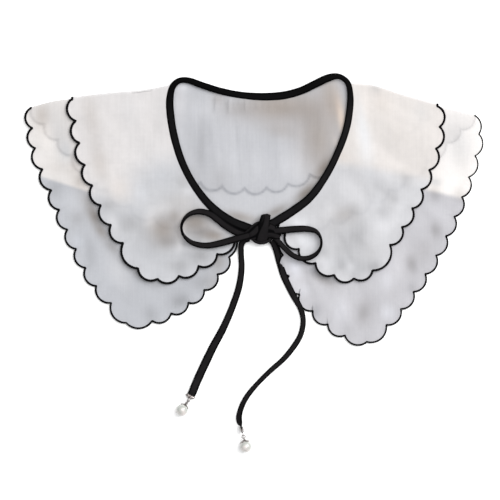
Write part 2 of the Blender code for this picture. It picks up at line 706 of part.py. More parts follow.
for side, c in (("left", CHARM_LEFT), ("right", CHARM_RIGHT)):
    loop = Vector(c["loop"])
    along = Vector((*c["crimp"], 0.0)).normalized()
    hang = Vector((*c["hang"], 0.0)).normalized()
    z = Vector((0, 0, 1))
    hole = z if c["roll"] == 0.0 else hang.cross(z)
    # crimp: a plate folded over the tape's end, drawn in to a loop
    turn = frame_of(along, hole)
    body = Vector((loop.x, loop.y, c["body_z"]))
    half, waist, long = CRIMP_W / 2, CRIMP_W * 0.2, c["long"]
    outline = (
        (-long, -half),
        (-3.5, -half),
        (-2.2, -waist),
        (-2.2, waist),
        (-3.5, half),
        (-long, half),
    )
    crimp = add("crimp_" + side, prism_bm(body, turn, outline, -CRIMP_T / 2, CRIMP_T / 2), metal)
    slot = ((-long - 2, -half - 1), (-2.9, -half - 1), (-2.9, half + 1), (-long - 2, half + 1))
    join(crimp, guide("slot_" + side, prism_bm(body, turn, slot, -CRIMP_SLOT / 2, CRIMP_SLOT / 2), metal), "DIFFERENCE")
    neck = ((-3.0, -0.7), (-EYE_R, -0.45), (-EYE_R, 0.45), (-3.0, 0.7))
    join(crimp, guide("neck_" + side, prism_bm(loop, turn, neck, -WIRE * 0.7, WIRE * 0.7), metal))
    join(crimp, guide("loopwire_" + side, torus_bm(loop, turn, EYE_R, WIRE), metal))
    # jump ring through the crimp's loop, swinging about the loop's middle
    ring_turn = frame_of(hang, hang.cross(hole))
    add("ring_" + side, torus_bm(loop + hang * LINK_R, ring_turn, LINK_R, WIRE), metal, loop)
    # pearl with its cap and eye, swinging about the far side of the ring
    eye = loop + hang * 2 * LINK_R
    reach = PEARL_R + GAP + CAP_WALL + 0.35 + EYE_R
    drop = PEARL_R + 0.05 - eye.z
    centre = eye + hang * math.sqrt(reach**2 - drop**2) + z * drop
    axis = (eye - centre).normalized()
    ball = [(-PEARL_R * math.cos(math.pi * k / 12), PEARL_R * math.sin(math.pi * k / 12)) for k in range(13)]
    add("pearl_" + side, turned_bm(centre, axis, ball, 18), pearl, eye)
    inner, outer = PEARL_R + GAP, PEARL_R + GAP + CAP_WALL
    steps = [CAP_ANGLE * k / 3 for k in range(4)]
    shell = [(inner * math.cos(a), inner * math.sin(a)) for a in steps]
    shell += [(outer * math.cos(a), outer * math.sin(a)) for a in reversed(steps)]
    cap = add("cap_" + side, turned_bm(centre, axis, shell, 14), metal, eye)
    stem = turned_bm(centre, axis, [(outer - 0.2, 0.0), (outer - 0.2, 0.32), (reach - EYE_R, 0.32), (reach - EYE_R, 0.0)], 8)
    join(cap, guide("stem_" + side, stem, metal))
    join(cap, guide("eyewire_" + side, torus_bm(eye, frame_of(hang, hole), EYE_R, WIRE), metal))
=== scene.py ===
"""Looks of the collar shawl: two sheer scalloped capes on one black neck binding,
tied with a bow whose tape ends carry metal crimps, jump rings and capped pearls.

Tables are in millimetres in the drawing's frame, and ORIGIN takes them to the
part's frame. The cords' routes are in metres.
"""

import math

import bmesh
import bpy
import numpy as np
from mathutils import Matrix, Vector, noise


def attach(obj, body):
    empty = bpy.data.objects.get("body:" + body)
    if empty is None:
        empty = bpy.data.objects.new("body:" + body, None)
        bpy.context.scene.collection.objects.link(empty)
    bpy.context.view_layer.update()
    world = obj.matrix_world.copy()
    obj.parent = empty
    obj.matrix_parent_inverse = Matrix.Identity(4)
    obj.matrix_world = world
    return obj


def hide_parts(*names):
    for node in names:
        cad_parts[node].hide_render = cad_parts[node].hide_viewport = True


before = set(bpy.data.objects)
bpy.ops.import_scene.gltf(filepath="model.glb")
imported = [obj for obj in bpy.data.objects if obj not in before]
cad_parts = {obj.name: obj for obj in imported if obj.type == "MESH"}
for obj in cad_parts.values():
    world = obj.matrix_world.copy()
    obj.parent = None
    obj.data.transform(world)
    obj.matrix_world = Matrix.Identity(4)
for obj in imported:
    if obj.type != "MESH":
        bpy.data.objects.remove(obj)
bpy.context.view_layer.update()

scene = bpy.context.scene
scene.view_settings.view_transform = "Standard"
scene.view_settings.look = "None"
scene.view_settings.exposure = 0.0
scene.view_settings.gamma = 1.0

# ---------------------------------------------------------------- camera
ORIGIN = np.array([1.4, 1.02, 0.0])
CAMERA_HEIGHT = 1.5
VIEW_WIDTH = 0.425
VIEW_CENTRE = (-2.125, -33.6)  # drawing's frame, mm

camera = bpy.data.objects.new("camera", bpy.data.cameras.new("camera"))
scene.collection.objects.link(camera)
camera.data.sensor_width = 36.0
camera.data.lens = 36.0 * CAMERA_HEIGHT / VIEW_WIDTH
camera.location = (
    (VIEW_CENTRE[0] - ORIGIN[0]) * 0.001,
    (VIEW_CENTRE[1] - ORIGIN[1]) * 0.001,
    CAMERA_HEIGHT + 0.003,
)
camera.data.clip_end = 20.0
scene.camera = camera

# ---------------------------------------------------------------- sizes, mm
MM = 0.001
WALL = 1.0
GAP = 0.3
AXIS_Z = 2 * WALL + 1.5 * GAP
LONG_R = 0.5 * (WALL + GAP)
SHORT_R = LONG_R + WALL + GAP
BEND_STEPS = 14
BAND_T = 2 * WALL + 2 * GAP
BAND_RISE_FROM = 20.0
BAND_RISE_TO = 54.0
CORNER_LEFT = 73.0
CORNER_RIGHT = 67.0
SHORT_LIFT = 1.35
SEGMENTS = 12  # stations to a scallop
ROWS = 60  # neck to hem
PEARL_R = 5.0
LINK_R = 1.4
EYE_R = 0.9
WIRE = 0.25
TAPE_SOFT = 0.5  # the tape is this much wider than its pressed width
WIRE_SHOWN = 0.34  # with its plating

# ---------------------------------------------------------------- tables, mm
# Neck binding, middle line, from the bow up the left front, round the back and
# down the right front: x, y, width
NECK = (
    (-1.8, -15.6, 7.4),
    (-18.8, -8.6, 7.4),
    (-34.2, 2.6, 7.0),
    (-48.2, 19.3, 6.4),
    (-59.2, 39.5, 6.3),
    (-66.3, 61.6, 6.5),
    (-69.7, 81.2, 6.7),
    (-70.2, 94.8, 6.4),
    (-67.8, 105.1, 5.4),
    (-62.5, 110.2, 4.9),
    (-54.8, 110.5, 5.2),
    (-43.8, 106.7, 5.7),
    (-27.6, 101.7, 5.6),
    (-9.8, 98.2, 5.9),
    (9.8, 96.8, 6.6),
    (27.6, 98.1, 7.0),
    (42.1, 102.2, 6.6),
    (54.0, 107.8, 6.6),
    (65.0, 112.8, 6.4),
    (73.5, 113.9, 4.5),
    (80.7, 108.8, 4.6),
    (83.1, 98.2, 5.3),
    (82.4, 83.7, 6.0),
    (79.4, 68.0, 6.0),
    (73.2, 51.0, 5.9),
    (62.9, 30.3, 6.1),
    (48.7, 10.9, 6.7),
    (33.7, -0.8, 7.3),
    (18.6, -10.2, 7.4),
)
NECK_BACK = 14  # row at centre back

# Fold of both capes over each shoulder, from the neck out: x, y
FOLD_LEFT = ((-71.8, 104.5), (-93.1, 100.7), (-125.4, 97.8), (-150.0, 94.8), (-170.4, 92.0), (-188.3, 87.1))
FOLD_RIGHT = ((85.4, 106.2), (102.4, 104.5), (127.1, 96.9), (156.8, 88.6), (176.4, 83.6), (189.1, 80.6))

# Scalloped edges, the line through the points of the scallops: x, y, scallops
# since the row before, how far they stand out as a share of their width
SHORT_FRONT_LEFT = (  # front opening to the fold
    (-15.0, -26.0, 0, 0.0),
    (-30.2, -37.0, 1, 0.24),
    (-62.5, -55.7, 2, 0.28),
    (-80.8, -58.2, 1, 0.27),
    (-97.3, -49.3, 1, 0.28),
    (-110.1, -27.6, 1, 0.27),
    (-120.3, -12.3, 1, 0.30),
    (-142.4, 38.7, 3, 0.29),
    (-153.4, 94.8, 3, 0.30),
)
SHORT_BACK = (  # left fold to right fold
    (-153.4, 94.8, 0, 0.0),
    (-114.3, 49.7, 3, 0.28),
    (-65.9, 27.6, 3, 0.28),
    (-44.2, 24.2, 1, 0.28),
    (-6.8, 19.1, 2, 0.30),
    (30.2, 22.9, 2, 0.30),
    (48.9, 31.0, 1, 0.28),
    (87.1, 42.9, 2, 0.28),
    (127.1, 66.7, 2, 0.28),
    (156.8, 88.6, 2, 0.28),
)
SHORT_FRONT_RIGHT = (  # fold to the front opening
    (156.8, 88.6, 0, 0.0),
    (158.9, 71.0, 1, 0.30),
    (150.0, 34.4, 2, 0.28),
    (127.1, -14.0, 3, 0.28),
    (116.9, -29.3, 1, 0.28),
    (102.0, -51.0, 1, 0.27),
    (86.3, -57.8, 1, 0.28),
    (69.3, -54.8, 1, 0.28),
    (39.5, -32.7, 2, 0.28),
    (27.8, -19.8, 1, 0.30),
    (21.2, -15.6, 1, 0.10),
)
LONG_FRONT_LEFT = (
    (-13.2, -26.8, 0, 0.0),
    (-20.0, -39.5, 1, 0.14),
    (-41.2, -67.6, 2, 0.28),
    (-69.3, -87.5, 2, 0.28),
    (-85.4, -93.9, 1, 0.27),
    (-107.5, -95.6, 1, 0.25),
    (-120.3, -78.6, 1, 0.26),
    (-133.0, -64.2, 1, 0.27),
    (-150.0, -32.7, 2, 0.28),
    (-171.3, 17.4, 3, 0.29),
    (-184.9, 53.1, 2, 0.30),
    (-188.3, 87.1, 2, 0.32),
)
LONG_BACK = (
    (-188.3, 87.1, 0, 0.0),
    (-153.4, 47.2, 3, 0.28),
    (-122.8, 17.4, 2, 0.28),
    (-83.7, -6.4, 2, 0.28),
    (-37.8, -14.4, 2, 0.25),
    (8.1, -15.6, 2, 0.23),
    (47.2, -12.6, 2, 0.25),
    (84.6, -1.3, 2, 0.28),
    (130.5, 28.5, 3, 0.28),
    (164.5, 58.2, 2, 0.28),
    (189.1, 80.6, 2, 0.28),
)
LONG_FRONT_RIGHT = (
    (189.1, 80.6, 0, 0.0),
    (192.5, 65.0, 1, 0.22),
    (184.0, 28.5, 2, 0.26),
    (164.5, -21.7, 3, 0.27),
    (147.0, -54.0, 2, 0.27),
    (126.2, -83.7, 2, 0.27),
    (113.9, -97.3, 1, 0.27),
    (97.3, -111.8, 1, 0.27),
    (78.6, -106.2, 1, 0.27),
    (51.4, -85.4, 2, 0.28),
    (31.0, -55.7, 2, 0.30),
    (25.9, -37.8, 1, 0.30),
    (22.6, -26.6, 1, 0.12),
)

# Soft folds of the front panels, as long low ridges that both capes share:
# from x, y (neck end), to x, y (hem end), half width, height
RIDGES = (
    (-86.0, 84.0, -172.0, 34.0, 12.0, 0.8),
    (-72.0, 52.0, -146.0, -30.0, 14.0, 1.3),
    (-54.0, 14.0, -104.0, -78.0, 14.0, 1.2),
    (-34.0, -14.0, -52.0, -72.0, 11.0, 0.6),
    (96.0, 84.0, 178.0, 40.0, 12.0, 0.8),
    (86.0, 50.0, 158.0, -22.0, 14.0, 1.3),
    (68.0, 18.0, 120.0, -80.0, 14.0, 1.2),
    (48.0, -2.0, 74.0, -92.0, 12.0, 0.7),
)

# Routes of the tape, metres in the drawing's frame: x, y, z, width, thickness,
# roll in degrees
LOOP_LEFT = (
    (-0.0024, -0.0214, 0.0064, 0.0054, 0.0014, 0),
    (-0.011, -0.0194, 0.0064, 0.006, 0.0014, 2),
    (-0.0228, -0.013, 0.0065, 0.0062, 0.0014, 6),
    (-0.0298, -0.0074, 0.0068, 0.006, 0.0014, 10),
    (-0.036, -0.0032, 0.0071, 0.0058, 0.0014, 18),
    (-0.0455, -0.0014, 0.0076, 0.0056, 0.0014, 30),
    (-0.054, -0.0047, 0.008, 0.0052, 0.0017, 52),
    (-0.0587, -0.0118, 0.0082, 0.0052, 0.0022, 78),
    (-0.0581, -0.0196, 0.0081, 0.0052, 0.0021, 101),
    (-0.0524, -0.0264, 0.0078, 0.0054, 0.0016, 130),
    (-0.0455, -0.0292, 0.0075, 0.0056, 0.0014, 146),
    (-0.0378, -0.0298, 0.0075, 0.0058, 0.0014, 152),
    (-0.0276, -0.028, 0.0079, 0.006, 0.0014, 160),
    (-0.0166, -0.0249, 0.0088, 0.006, 0.0014, 170),
    (-0.0081, -0.0226, 0.0091, 0.006, 0.0014, 178),
    (-0.0024, -0.021, 0.0089, 0.0056, 0.0014, 180),
)
LOOP_RIGHT = (
    (0.0182, -0.0174, 0.008, 0.006, 0.0014, 0),
    (0.0248, -0.017, 0.0077, 0.006, 0.0014, -4),
    (0.0361, -0.0159, 0.0072, 0.0058, 0.0014, -10),
    (0.0463, -0.0158, 0.0074, 0.0056, 0.0014, -24),
    (0.054, -0.018, 0.0078, 0.0052, 0.0016, -50),
    (0.0578, -0.0234, 0.0081, 0.005, 0.002, -80),
    (0.058, -0.0302, 0.0081, 0.005, 0.002, -98),
    (0.0546, -0.0363, 0.0077, 0.005, 0.0015, -125),
    (0.048, -0.0402, 0.0072, 0.0049, 0.0014, -146),
    (0.0408, -0.0407, 0.007, 0.0048, 0.0014, -155),
    (0.0344, -0.0382, 0.0068, 0.0048, 0.0014, -162),
    (0.0276, -0.0326, 0.0065, 0.0046, 0.0014, -170),
    (0.0226, -0.027, 0.0063, 0.0044, 0.0014, -176),
    (0.0178, -0.0224, 0.0062, 0.0042, 0.0014, -180),
)
TAIL_LEFT = (
    (-0.0028, -0.024, 0.0037, 0.0046, 0.0014, 0),
    (-0.0074, -0.0256, 0.0036, 0.0046, 0.0014, 0),
    (-0.0095, -0.0296, 0.0028, 0.0044, 0.0016, 0),
    (-0.0097, -0.036, 0.0016, 0.0044, 0.0018, 0),
    (-0.0092, -0.0484, 0.001, 0.0046, 0.0018, 0),
    (-0.0113, -0.0642, 0.00095, 0.0052, 0.0018, 0),
    (-0.0171, -0.082, 0.00095, 0.0053, 0.0017, 0),
    (-0.0248, -0.0999, 0.0009, 0.0058, 0.0016, 0),
    (-0.0339, -0.1169, 0.0009, 0.0064, 0.0015, 0),
    (-0.0432, -0.1364, 0.001, 0.0067, 0.0014, 0),
    (-0.0482, -0.1476, 0.0014, 0.0066, 0.0014, 0),
    (-0.051, -0.1546, 0.0016, 0.0064, 0.0014, 0),
    (-0.0531, -0.159, 0.0016, 0.0064, 0.0014, 0),
)
TAIL_RIGHT = (
    (0.0164, -0.0256, 0.0035, 0.0046, 0.0014, 0),
    (0.0184, -0.029, 0.0024, 0.0049, 0.0014, 0),
    (0.0208, -0.035, 0.0012, 0.0052, 0.0014, 0),
    (0.0228, -0.043, 0.00085, 0.0052, 0.0014, 0),
    (0.0268, -0.0557, 0.0008, 0.0053, 0.0014, 0),
    (0.0345, -0.0718, 0.0008, 0.0049, 0.0014, 0),
    (0.041, -0.0837, 0.0009, 0.0042, 0.0016, 0),
    (0.0432, -0.0939, 0.00095, 0.004, 0.0017, 0),
    (0.041, -0.1058, 0.00095, 0.0042, 0.0017, 0),
    (0.035, -0.116, 0.00095, 0.0043, 0.0017, 0),
    (0.0266, -0.1262, 0.001, 0.0041, 0.0017, 2),
    (0.0152, -0.1364, 0.0011, 0.0038, 0.0016, 8),
    (0.0033, -0.1483, 0.0015, 0.0037, 0.0015, 18),
    (-0.0055, -0.1594, 0.002, 0.0044, 0.0014, 28),
    (-0.0102, -0.1696, 0.0027, 0.0052, 0.0014, 40),
    (-0.0115, -0.1766, 0.0033, 0.0062, 0.0014, 44),
    (-0.011, -0.18, 0.0035, 0.0062, 0.0014, 48),
    (-0.0102, -0.1822, 0.0037, 0.0062, 0.0014, 66),
    (-0.00962, -0.1837, 0.0037, 0.0062, 0.0014, 90),
    (-0.00895, -0.1864, 0.0037, 0.0062, 0.0014, 90),
)

# Charms: centre of the crimp's loop, plan direction of the crimp, plan
# direction of ring and pearl, roll, height and length of the crimp
CHARM_LEFT = dict(loop=(-54.56, -161.95, 2.0), crimp=(-0.43, -0.90), hang=(-0.578, -0.816), roll=0.0, body_z=1.6, long=5.6)
CHARM_RIGHT = dict(loop=(-7.9, -190.9, 3.7), crimp=(0.22, -0.975), hang=(0.22, -0.975), roll=90.0, body_z=3.7, long=7.0)

# ---------------------------------------------------------------- curves
def curve(rows, step=1.0, dims=2):
    """Centripetal Catmull-Rom through rows, by their first dims columns. Returns
    the points, their distance along the curve, and the distance at each row."""
    p = np.array(rows, float)
    q = np.vstack([2 * p[0] - p[1], p, 2 * p[-1] - p[-2]])
    out, marks = [], []
    for i in range(1, len(q) - 2):
        a, b, c, d = q[i - 1 : i + 3]
        t0 = 0.0
        t1 = t0 + max(np.linalg.norm((b - a)[:dims]), 1e-3) ** 0.5
        t2 = t1 + max(np.linalg.norm((c - b)[:dims]), 1e-3) ** 0.5
        t3 = t2 + max(np.linalg.norm((d - c)[:dims]), 1e-3) ** 0.5
        n = max(2, int(round(np.linalg.norm((c - b)[:dims]) / step)))
        marks.append(len(out))
        for k in range(n):
            t = t1 + (t2 - t1) * k / n
            a1 = (t1 - t) / (t1 - t0) * a + (t - t0) / (t1 - t0) * b
            a2 = (t2 - t) / (t2 - t1) * b + (t - t1) / (t2 - t1) * c
            a3 = (t3 - t) / (t3 - t2) * c + (t - t2) / (t3 - t2) * d
            b1 = (t2 - t) / (t2 - t0) * a1 + (t - t0) / (t2 - t0) * a2
            b2 = (t3 - t) / (t3 - t1) * a2 + (t - t1) / (t3 - t1) * a3
            out.append((t2 - t) / (t2 - t1) * b1 + (t - t1) / (t2 - t1) * b2)
    marks.append(len(out))
    out.append(p[-1])
    pts = np.array(out)
    arc = np.concatenate([[0.0], np.cumsum(np.linalg.norm(np.diff(pts[:, :dims], axis=0), axis=1))])
    return pts, arc, [arc[m] for m in marks]


def at(pts, arc, s):
    """The curve's columns at distance s."""
    return np.array([np.interp(s, arc, pts[:, c]) for c in range(pts.shape[1])])


def left_of(pts, arc, s):
    d = at(pts, arc, min(s + 0.6, arc[-1]))[:2] - at(pts, arc, max(s - 0.6, 0.0))[:2]
    d /= np.linalg.norm(d)
    return np.array([-d[1], d[0]])


def ramp(x):
    x = np.clip(x, 0.0, 1.0)
    return x * x * (3 - 2 * x)


def scalloped(rows, side):
    """Points between scallops, and the points of each scallop's arc."""
    pts, arc, marks = curve([r[:2] for r in rows], 0.5)
    cusps, arcs = [pts[0][:2]], []
    for i in range(1, len(rows)):
        count, rise = rows[i][2], rows[i][3]
        for k in range(count):
            a = cusps[-1]
            b = at(pts, arc, marks[i - 1] + (marks[i] - marks[i - 1]) * (k + 1) / count)[:2]
            chord = np.linalg.norm(b - a)
            along = (b - a) / chord
            out = side * np.array([-along[1], along[0]])
            h = rise * chord
            radius = (chord * chord / 4 + h * h) / (2 * h)
            half = math.asin(min(chord / 2 / radius, 1.0))
            arcs.append(
                [
                    (a + b) / 2
                    + along * radius * math.sin(half * (2 * j / SEGMENTS - 1))
                    + out * (radius * math.cos(half * (2 * j / SEGMENTS - 1)) - (radius - h))
                    for j in range(1, SEGMENTS)
                ]
            )
            cusps.append(b)
    return cusps, arcs


BAND, BAND_ARC, BAND_MARKS = curve(NECK, 1.0)
BACK_S = BAND_MARKS[NECK_BACK]
FOLDS = {"left": curve(FOLD_LEFT, 2.0), "right": curve(FOLD_RIGHT, 2.0)}


def band_lift(s):
    return float(ramp((abs(s - BACK_S) - BAND_RISE_FROM) / (BAND_RISE_TO - BAND_RISE_FROM)))


def beside_band(s, side, inset):
    """Point on one side of the binding, inset from its edge."""
    x, y, width = at(BAND, BAND_ARC, s)
    return np.array([x, y]) + left_of(BAND, BAND_ARC, s) * side * (width / 2 - inset)


def nearest_s(point):
    d = np.linalg.norm(BAND[:, :2] - np.array(point), axis=1)
    return BAND_ARC[int(np.argmin(d))]


def from_line(P, line):
    """Distance of each point of P from the nearest point of line."""
    return np.min(np.hypot(P[:, :1] - line[None, :, 0], P[:, 1:2] - line[None, :, 1]), axis=1)


def wobble(P, size, seed, depth=2):
    """Smooth unevenness, about -1 to 1, with features of that size in mm."""
    out = np.zeros(len(P))
    for i, (x, y) in enumerate(P[:, :2]):
        v = Vector((x / size + seed * 7.3, y / size - seed * 3.1, seed * 1.7))
        a = noise.noise(v)
        if depth > 1:
            a += 0.5 * noise.noise(v * 2.1 + Vector((3.7, 1.9, 0.0)))
        out[i] = a * 1.5
    return out


def bump_at(P, x, y, half_x, half_y, turn):
    """Soft round patch, 1 in its middle."""
    c, s = math.cos(math.radians(turn)), math.sin(math.radians(turn))
    dx, dy = P[:, 0] - x, P[:, 1] - y
    return np.exp(-(((c * dx + s * dy) / half_x) ** 2 + ((-s * dx + c * dy) / half_y) ** 2))


def crease_at(P, rows):
    """Sum of soft ridges (troughs where the height is negative)."""
    z = np.zeros(len(P))
    for x0, y0, x1, y1, half, height in rows:
        dx, dy = x1 - x0, y1 - y0
        length = math.hypot(dx, dy)
        t = ((P[:, 0] - x0) * dx + (P[:, 1] - y0) * dy) / length**2
        off = ((P[:, 0] - x0) * dy - (P[:, 1] - y0) * dx) / length
        ends = ramp((t + 0.12) / 0.35) * ramp((1.12 - t) / 0.35)
        z += height * ends * np.exp(-((off / half) ** 2))
    return z


# ---------------------------------------------------------------- drape
# Creases of the cloth as it lies: x, y, x, y, half width, height (a trough where
# it is negative). The first table is shared by both fronts.
CREASES_BOTH = (
    (-84.0, 66.0, -160.0, 4.0, 6.0, -0.5),
    (-64.0, 30.0, -128.0, -56.0, 7.0, -0.8),
    (-44.0, 0.0, -78.0, -84.0, 6.0, -0.7),
    (-24.0, -18.0, -36.0, -56.0, 4.0, 0.5),
    (-100.0, 88.0, -150.0, 70.0, 5.0, 0.45),
    (92.0, 66.0, 170.0, 8.0, 6.0, -0.5),
    (78.0, 34.0, 140.0, -50.0, 7.0, -0.9),
    (58.0, 6.0, 96.0, -96.0, 6.5, -0.8),
    (36.0, -14.0, 54.0, -76.0, 4.0, 0.6),
    (104.0, 92.0, 150.0, 70.0, 5.0, 0.5),
    (120.0, 10.0, 168.0, -6.0, 5.0, 0.4),
)
CREASES_SHORT = (
    (-92.0, 40.0, -128.0, 30.0, 4.5, 0.5),
    (-76.0, -8.0, -102.0, -34.0, 5.0, 0.6),
    (-60.0, -20.0, -66.0, -52.0, 4.0, -0.5),
    (-44.0, -22.0, -40.0, -40.0, 3.5, 0.45),
    (-100.0, 70.0, -140.0, 48.0, 6.0, -0.4),
    (96.0, 44.0, 138.0, 30.0, 4.5, 0.5),
    (100.0, 22.0, 124.0, 4.0, 5.0, -0.6),
    (84.0, -14.0, 108.0, -38.0, 4.0, 0.5),
    (62.0, -26.0, 70.0, -52.0, 3.5, 0.6),
    (74.0, -22.0, 86.0, -50.0, 3.5, -0.5),
    (50.0, -8.0, 58.0, -34.0, 4.0, 0.4),
)
CREASES_LONG = (
    (-140.0, 20.0, -158.0, -4.0, 5.0, 0.5),
    (-112.0, -62.0, -122.0, -80.0, 4.0, 0.5),
    (-70.0, -62.0, -84.0, -88.0, 5.0, 0.5),
    (-40.0, -50.0, -52.0, -70.0, 4.0, -0.4),
    (146.0, 4.0, 166.0, -14.0, 4.0, 0.6),
    (150.0, -14.0, 158.0, -34.0, 5.0, -0.6),
    (124.0, -40.0, 138.0, -66.0, 6.0, -0.7),
    (86.0, -64.0, 96.0, -104.0, 6.0, -0.8),
    (74.0, -76.0, 84.0, -104.0, 3.5, 0.5),
    (50.0, -56.0, 62.0, -84.0, 4.0, 0.5),
    (106.0, -70.0, 112.0, -96.0, 4.0, 0.4),
)
# Back panels, seen through the neck: gathers under the binding, then long folds
CREASES_BACK = (
    (-30.5, 98.0, -31.5, 84.0, 1.5, 1.1),
    (-25.0, 98.5, -24.0, 87.0, 1.1, -0.4),
    (-19.5, 97.5, -20.0, 82.0, 1.4, 1.2),
    (-14.0, 97.0, -13.0, 88.0, 1.1, -0.3),
    (-5.5, 95.5, -6.0, 85.0, 1.4, 0.7),
    (4.0, 95.0, 4.5, 86.0, 1.8, 0.5),
    (16.0, 95.0, 15.0, 84.0, 2.6, 0.4),
    (32.0, 97.0, 30.0, 84.0, 3.0, 0.4),
    (-52.0, 92.0, -46.0, 46.0, 5.0, 0.6),
    (-34.0, 76.0, -30.0, 30.0, 3.5, 0.5),
    (-16.0, 78.0, -12.0, 26.0, 3.0, -0.5),
    (-2.0, 70.0, 2.0, 22.0, 4.0, 0.5),
    (22.0, 74.0, 24.0, 26.0, 5.0, 0.7),
    (44.0, 78.0, 42.0, 26.0, 4.0, -0.7),
    (62.0, 92.0, 54.0, 40.0, 5.0, 0.9),
)
# Underside of the back, against the surface
CREASES_UNDER = (
    (-96.0, 80.0, -128.0, 48.0, 5.0, 0.35),
    (-54.0, 92.0, -70.0, 40.0, 5.0, 0.3),
    (-22.0, 88.0, -28.0, 30.0, 4.0, 0.35),
    (20.0, 88.0, 24.0, 32.0, 5.0, 0.3),
    (58.0, 92.0, 72.0, 44.0, 4.5, 0.35),
    (100.0, 84.0, 122.0, 64.0, 4.0, 0.3),
    (-118.0, 18.0, -104.0, 4.0, 4.0, 0.35),
    (-40.0, 16.0, -44.0, -10.0, 5.0, 0.35),
    (44.0, 20.0, 50.0, -8.0, 5.0, 0.35),
    (112.0, 26.0, 122.0, 14.0, 4.0, 0.3),
)


def lift(P):
    """Height that the soft folds add to both front panels."""
    z = np.zeros(len(P))
    for x0, y0, x1, y1, half, height in RIDGES:
        dx, dy = x1 - x0, y1 - y0
        length = math.hypot(dx, dy)
        t = ((P[:, 0] - x0) * dx + (P[:, 1] - y0) * dy) / length / length
        off = ((P[:, 0] - x0) * dy - (P[:, 1] - y0) * dx) / length
        along = ramp((t + 0.15) / 0.55) * (1 - 0.35 * ramp((t - 0.75) / 0.4))
        spread = half * (0.75 + 0.5 * np.clip(t, 0.0, 1.1))
        z += height * along * np.exp(-((off / spread) ** 2))
    return z * away_from_folds(P, 3.0, 16.0) * ramp((from_line(P, BAND) - 4.0) / 14.0)


def away_from_folds(P, start, width):
    d = np.minimum(from_line(P, FOLDS["left"][0]), from_line(P, FOLDS["right"][0]))
    return ramp((d - start) / width)


HEM_Y = np.array([(r[0], r[1]) for r in LONG_BACK])
SHORT_HEM_Y = np.array([(r[0], r[1]) for r in SHORT_BACK])


def droop(P):
    """How far the fronts sink towards the surface past the back panels' hem."""
    below = np.interp(P[:, 0], HEM_Y[:, 0], HEM_Y[:, 1]) - P[:, 1]
    past = ramp((below - 8.0) / 34.0)
    between = ramp((np.interp(P[:, 0], SHORT_HEM_Y[:, 0], SHORT_HEM_Y[:, 1]) - P[:, 1] - 4.0) / 20.0)
    return 2.0 * past + 0.45 * between


def front_long_z(P):
    near = ramp((from_line(P, BAND) - 3.0) / 9.0)
    soft = away_from_folds(P, 2.0, 12.0) * near
    z = AXIS_Z + LONG_R + lift(P) - droop(P)
    z += soft * (crease_at(P, CREASES_BOTH) + crease_at(P, CREASES_LONG) + 0.30 * wobble(P, 26.0, 1) + 0.10 * wobble(P, 9.0, 2))
    return z


def front_short_z(P):
    near = ramp((from_line(P, BAND) - 3.0) / 9.0)
    soft = away_from_folds(P, 2.0, 12.0) * near
    z = AXIS_Z + SHORT_R + SHORT_LIFT * lift(P) - droop(P)
    z += soft * (
        crease_at(P, CREASES_BOTH) + np.maximum(crease_at(P, CREASES_LONG), 0.0) + crease_at(P, CREASES_SHORT)
        + 0.30 * wobble(P, 26.0, 1) + 0.18 * wobble(P, 13.0, 3) + 0.25
    )
    return z


def back_long_z(P):
    inside = back_open(P)
    z = AXIS_Z - LONG_R + 0.12 * wobble(P, 18.0, 4)
    near = ramp((from_line(P, BAND) - 1.0) / 4.0)
    z += inside * near * (crease_at(P, CREASES_BACK) + 0.25 + 0.25 * wobble(P, 22.0, 5))
    below = ramp((np.interp(P[:, 0], SHORT_HEM_Y[:, 0], SHORT_HEM_Y[:, 1]) - P[:, 1] - 3.0) / 18.0)
    return z - 0.85 * below + below * np.maximum(crease_at(P, CREASES_UNDER), 0.0)


def back_short_z(P):
    return AXIS_Z - SHORT_R + np.maximum(crease_at(P, CREASES_UNDER), 0.0) * away_from_folds(P, 2.0, 10.0) + 0.05 * wobble(P, 16.0, 6)


def back_open(P):
    """1 inside the neck opening, where nothing lies on the back, 0 outside."""
    ring = BAND[::4, :2]
    inside = np.zeros(len(P), bool)
    x, y = P[:, 0], P[:, 1]
    for (x0, y0), (x1, y1) in zip(ring, np.roll(ring, -1, axis=0)):
        crosses = (y0 > y) != (y1 > y)
        with np.errstate(divide="ignore", invalid="ignore"):
            where = (x1 - x0) * (y - y0) / (y1 - y0 if y1 != y0 else 1e-9) + x0
        inside ^= crosses & (x < where)
    return inside * ramp((from_line(P, BAND) - 2.0) / 5.0)


# ---------------------------------------------------------------- tones
def srgb(r, g, b):
    """Screen colour 0..255 to linear."""
    out = []
    for v in (r, g, b):
        v /= 255.0
        out.append(v / 12.92 if v <= 0.04045 else ((v + 0.055) / 1.055) ** 2.4)
    return np.array(out)


# Where the cloth turns from its warm upper part to its cool lower part: the line
# from x, y to x, y, the softness, the colour above and the colour below
ZONES = {
    ("long", "left"): (-178.9, 28.5, -138.1, 15.7, 1.6, srgb(217, 213, 211), srgb(174, 176, 182)),
    ("long", "right"): (150.0, 17.4, 178.0, 10.6, 2.2, srgb(237, 233, 231), srgb(181, 180, 185)),
    ("short", "left"): (-134.0, 17.0, -74.0, 43.0, 14.0, srgb(218, 215, 215), srgb(199, 200, 204)),
    ("short", "right"): (94.8, 37.0, 130.5, 30.2, 5.0, srgb(221, 216, 213), srgb(203, 203, 206)),
}
BACK_TONE = {"long": srgb(184, 185, 190), "short": srgb(236, 236, 238)}
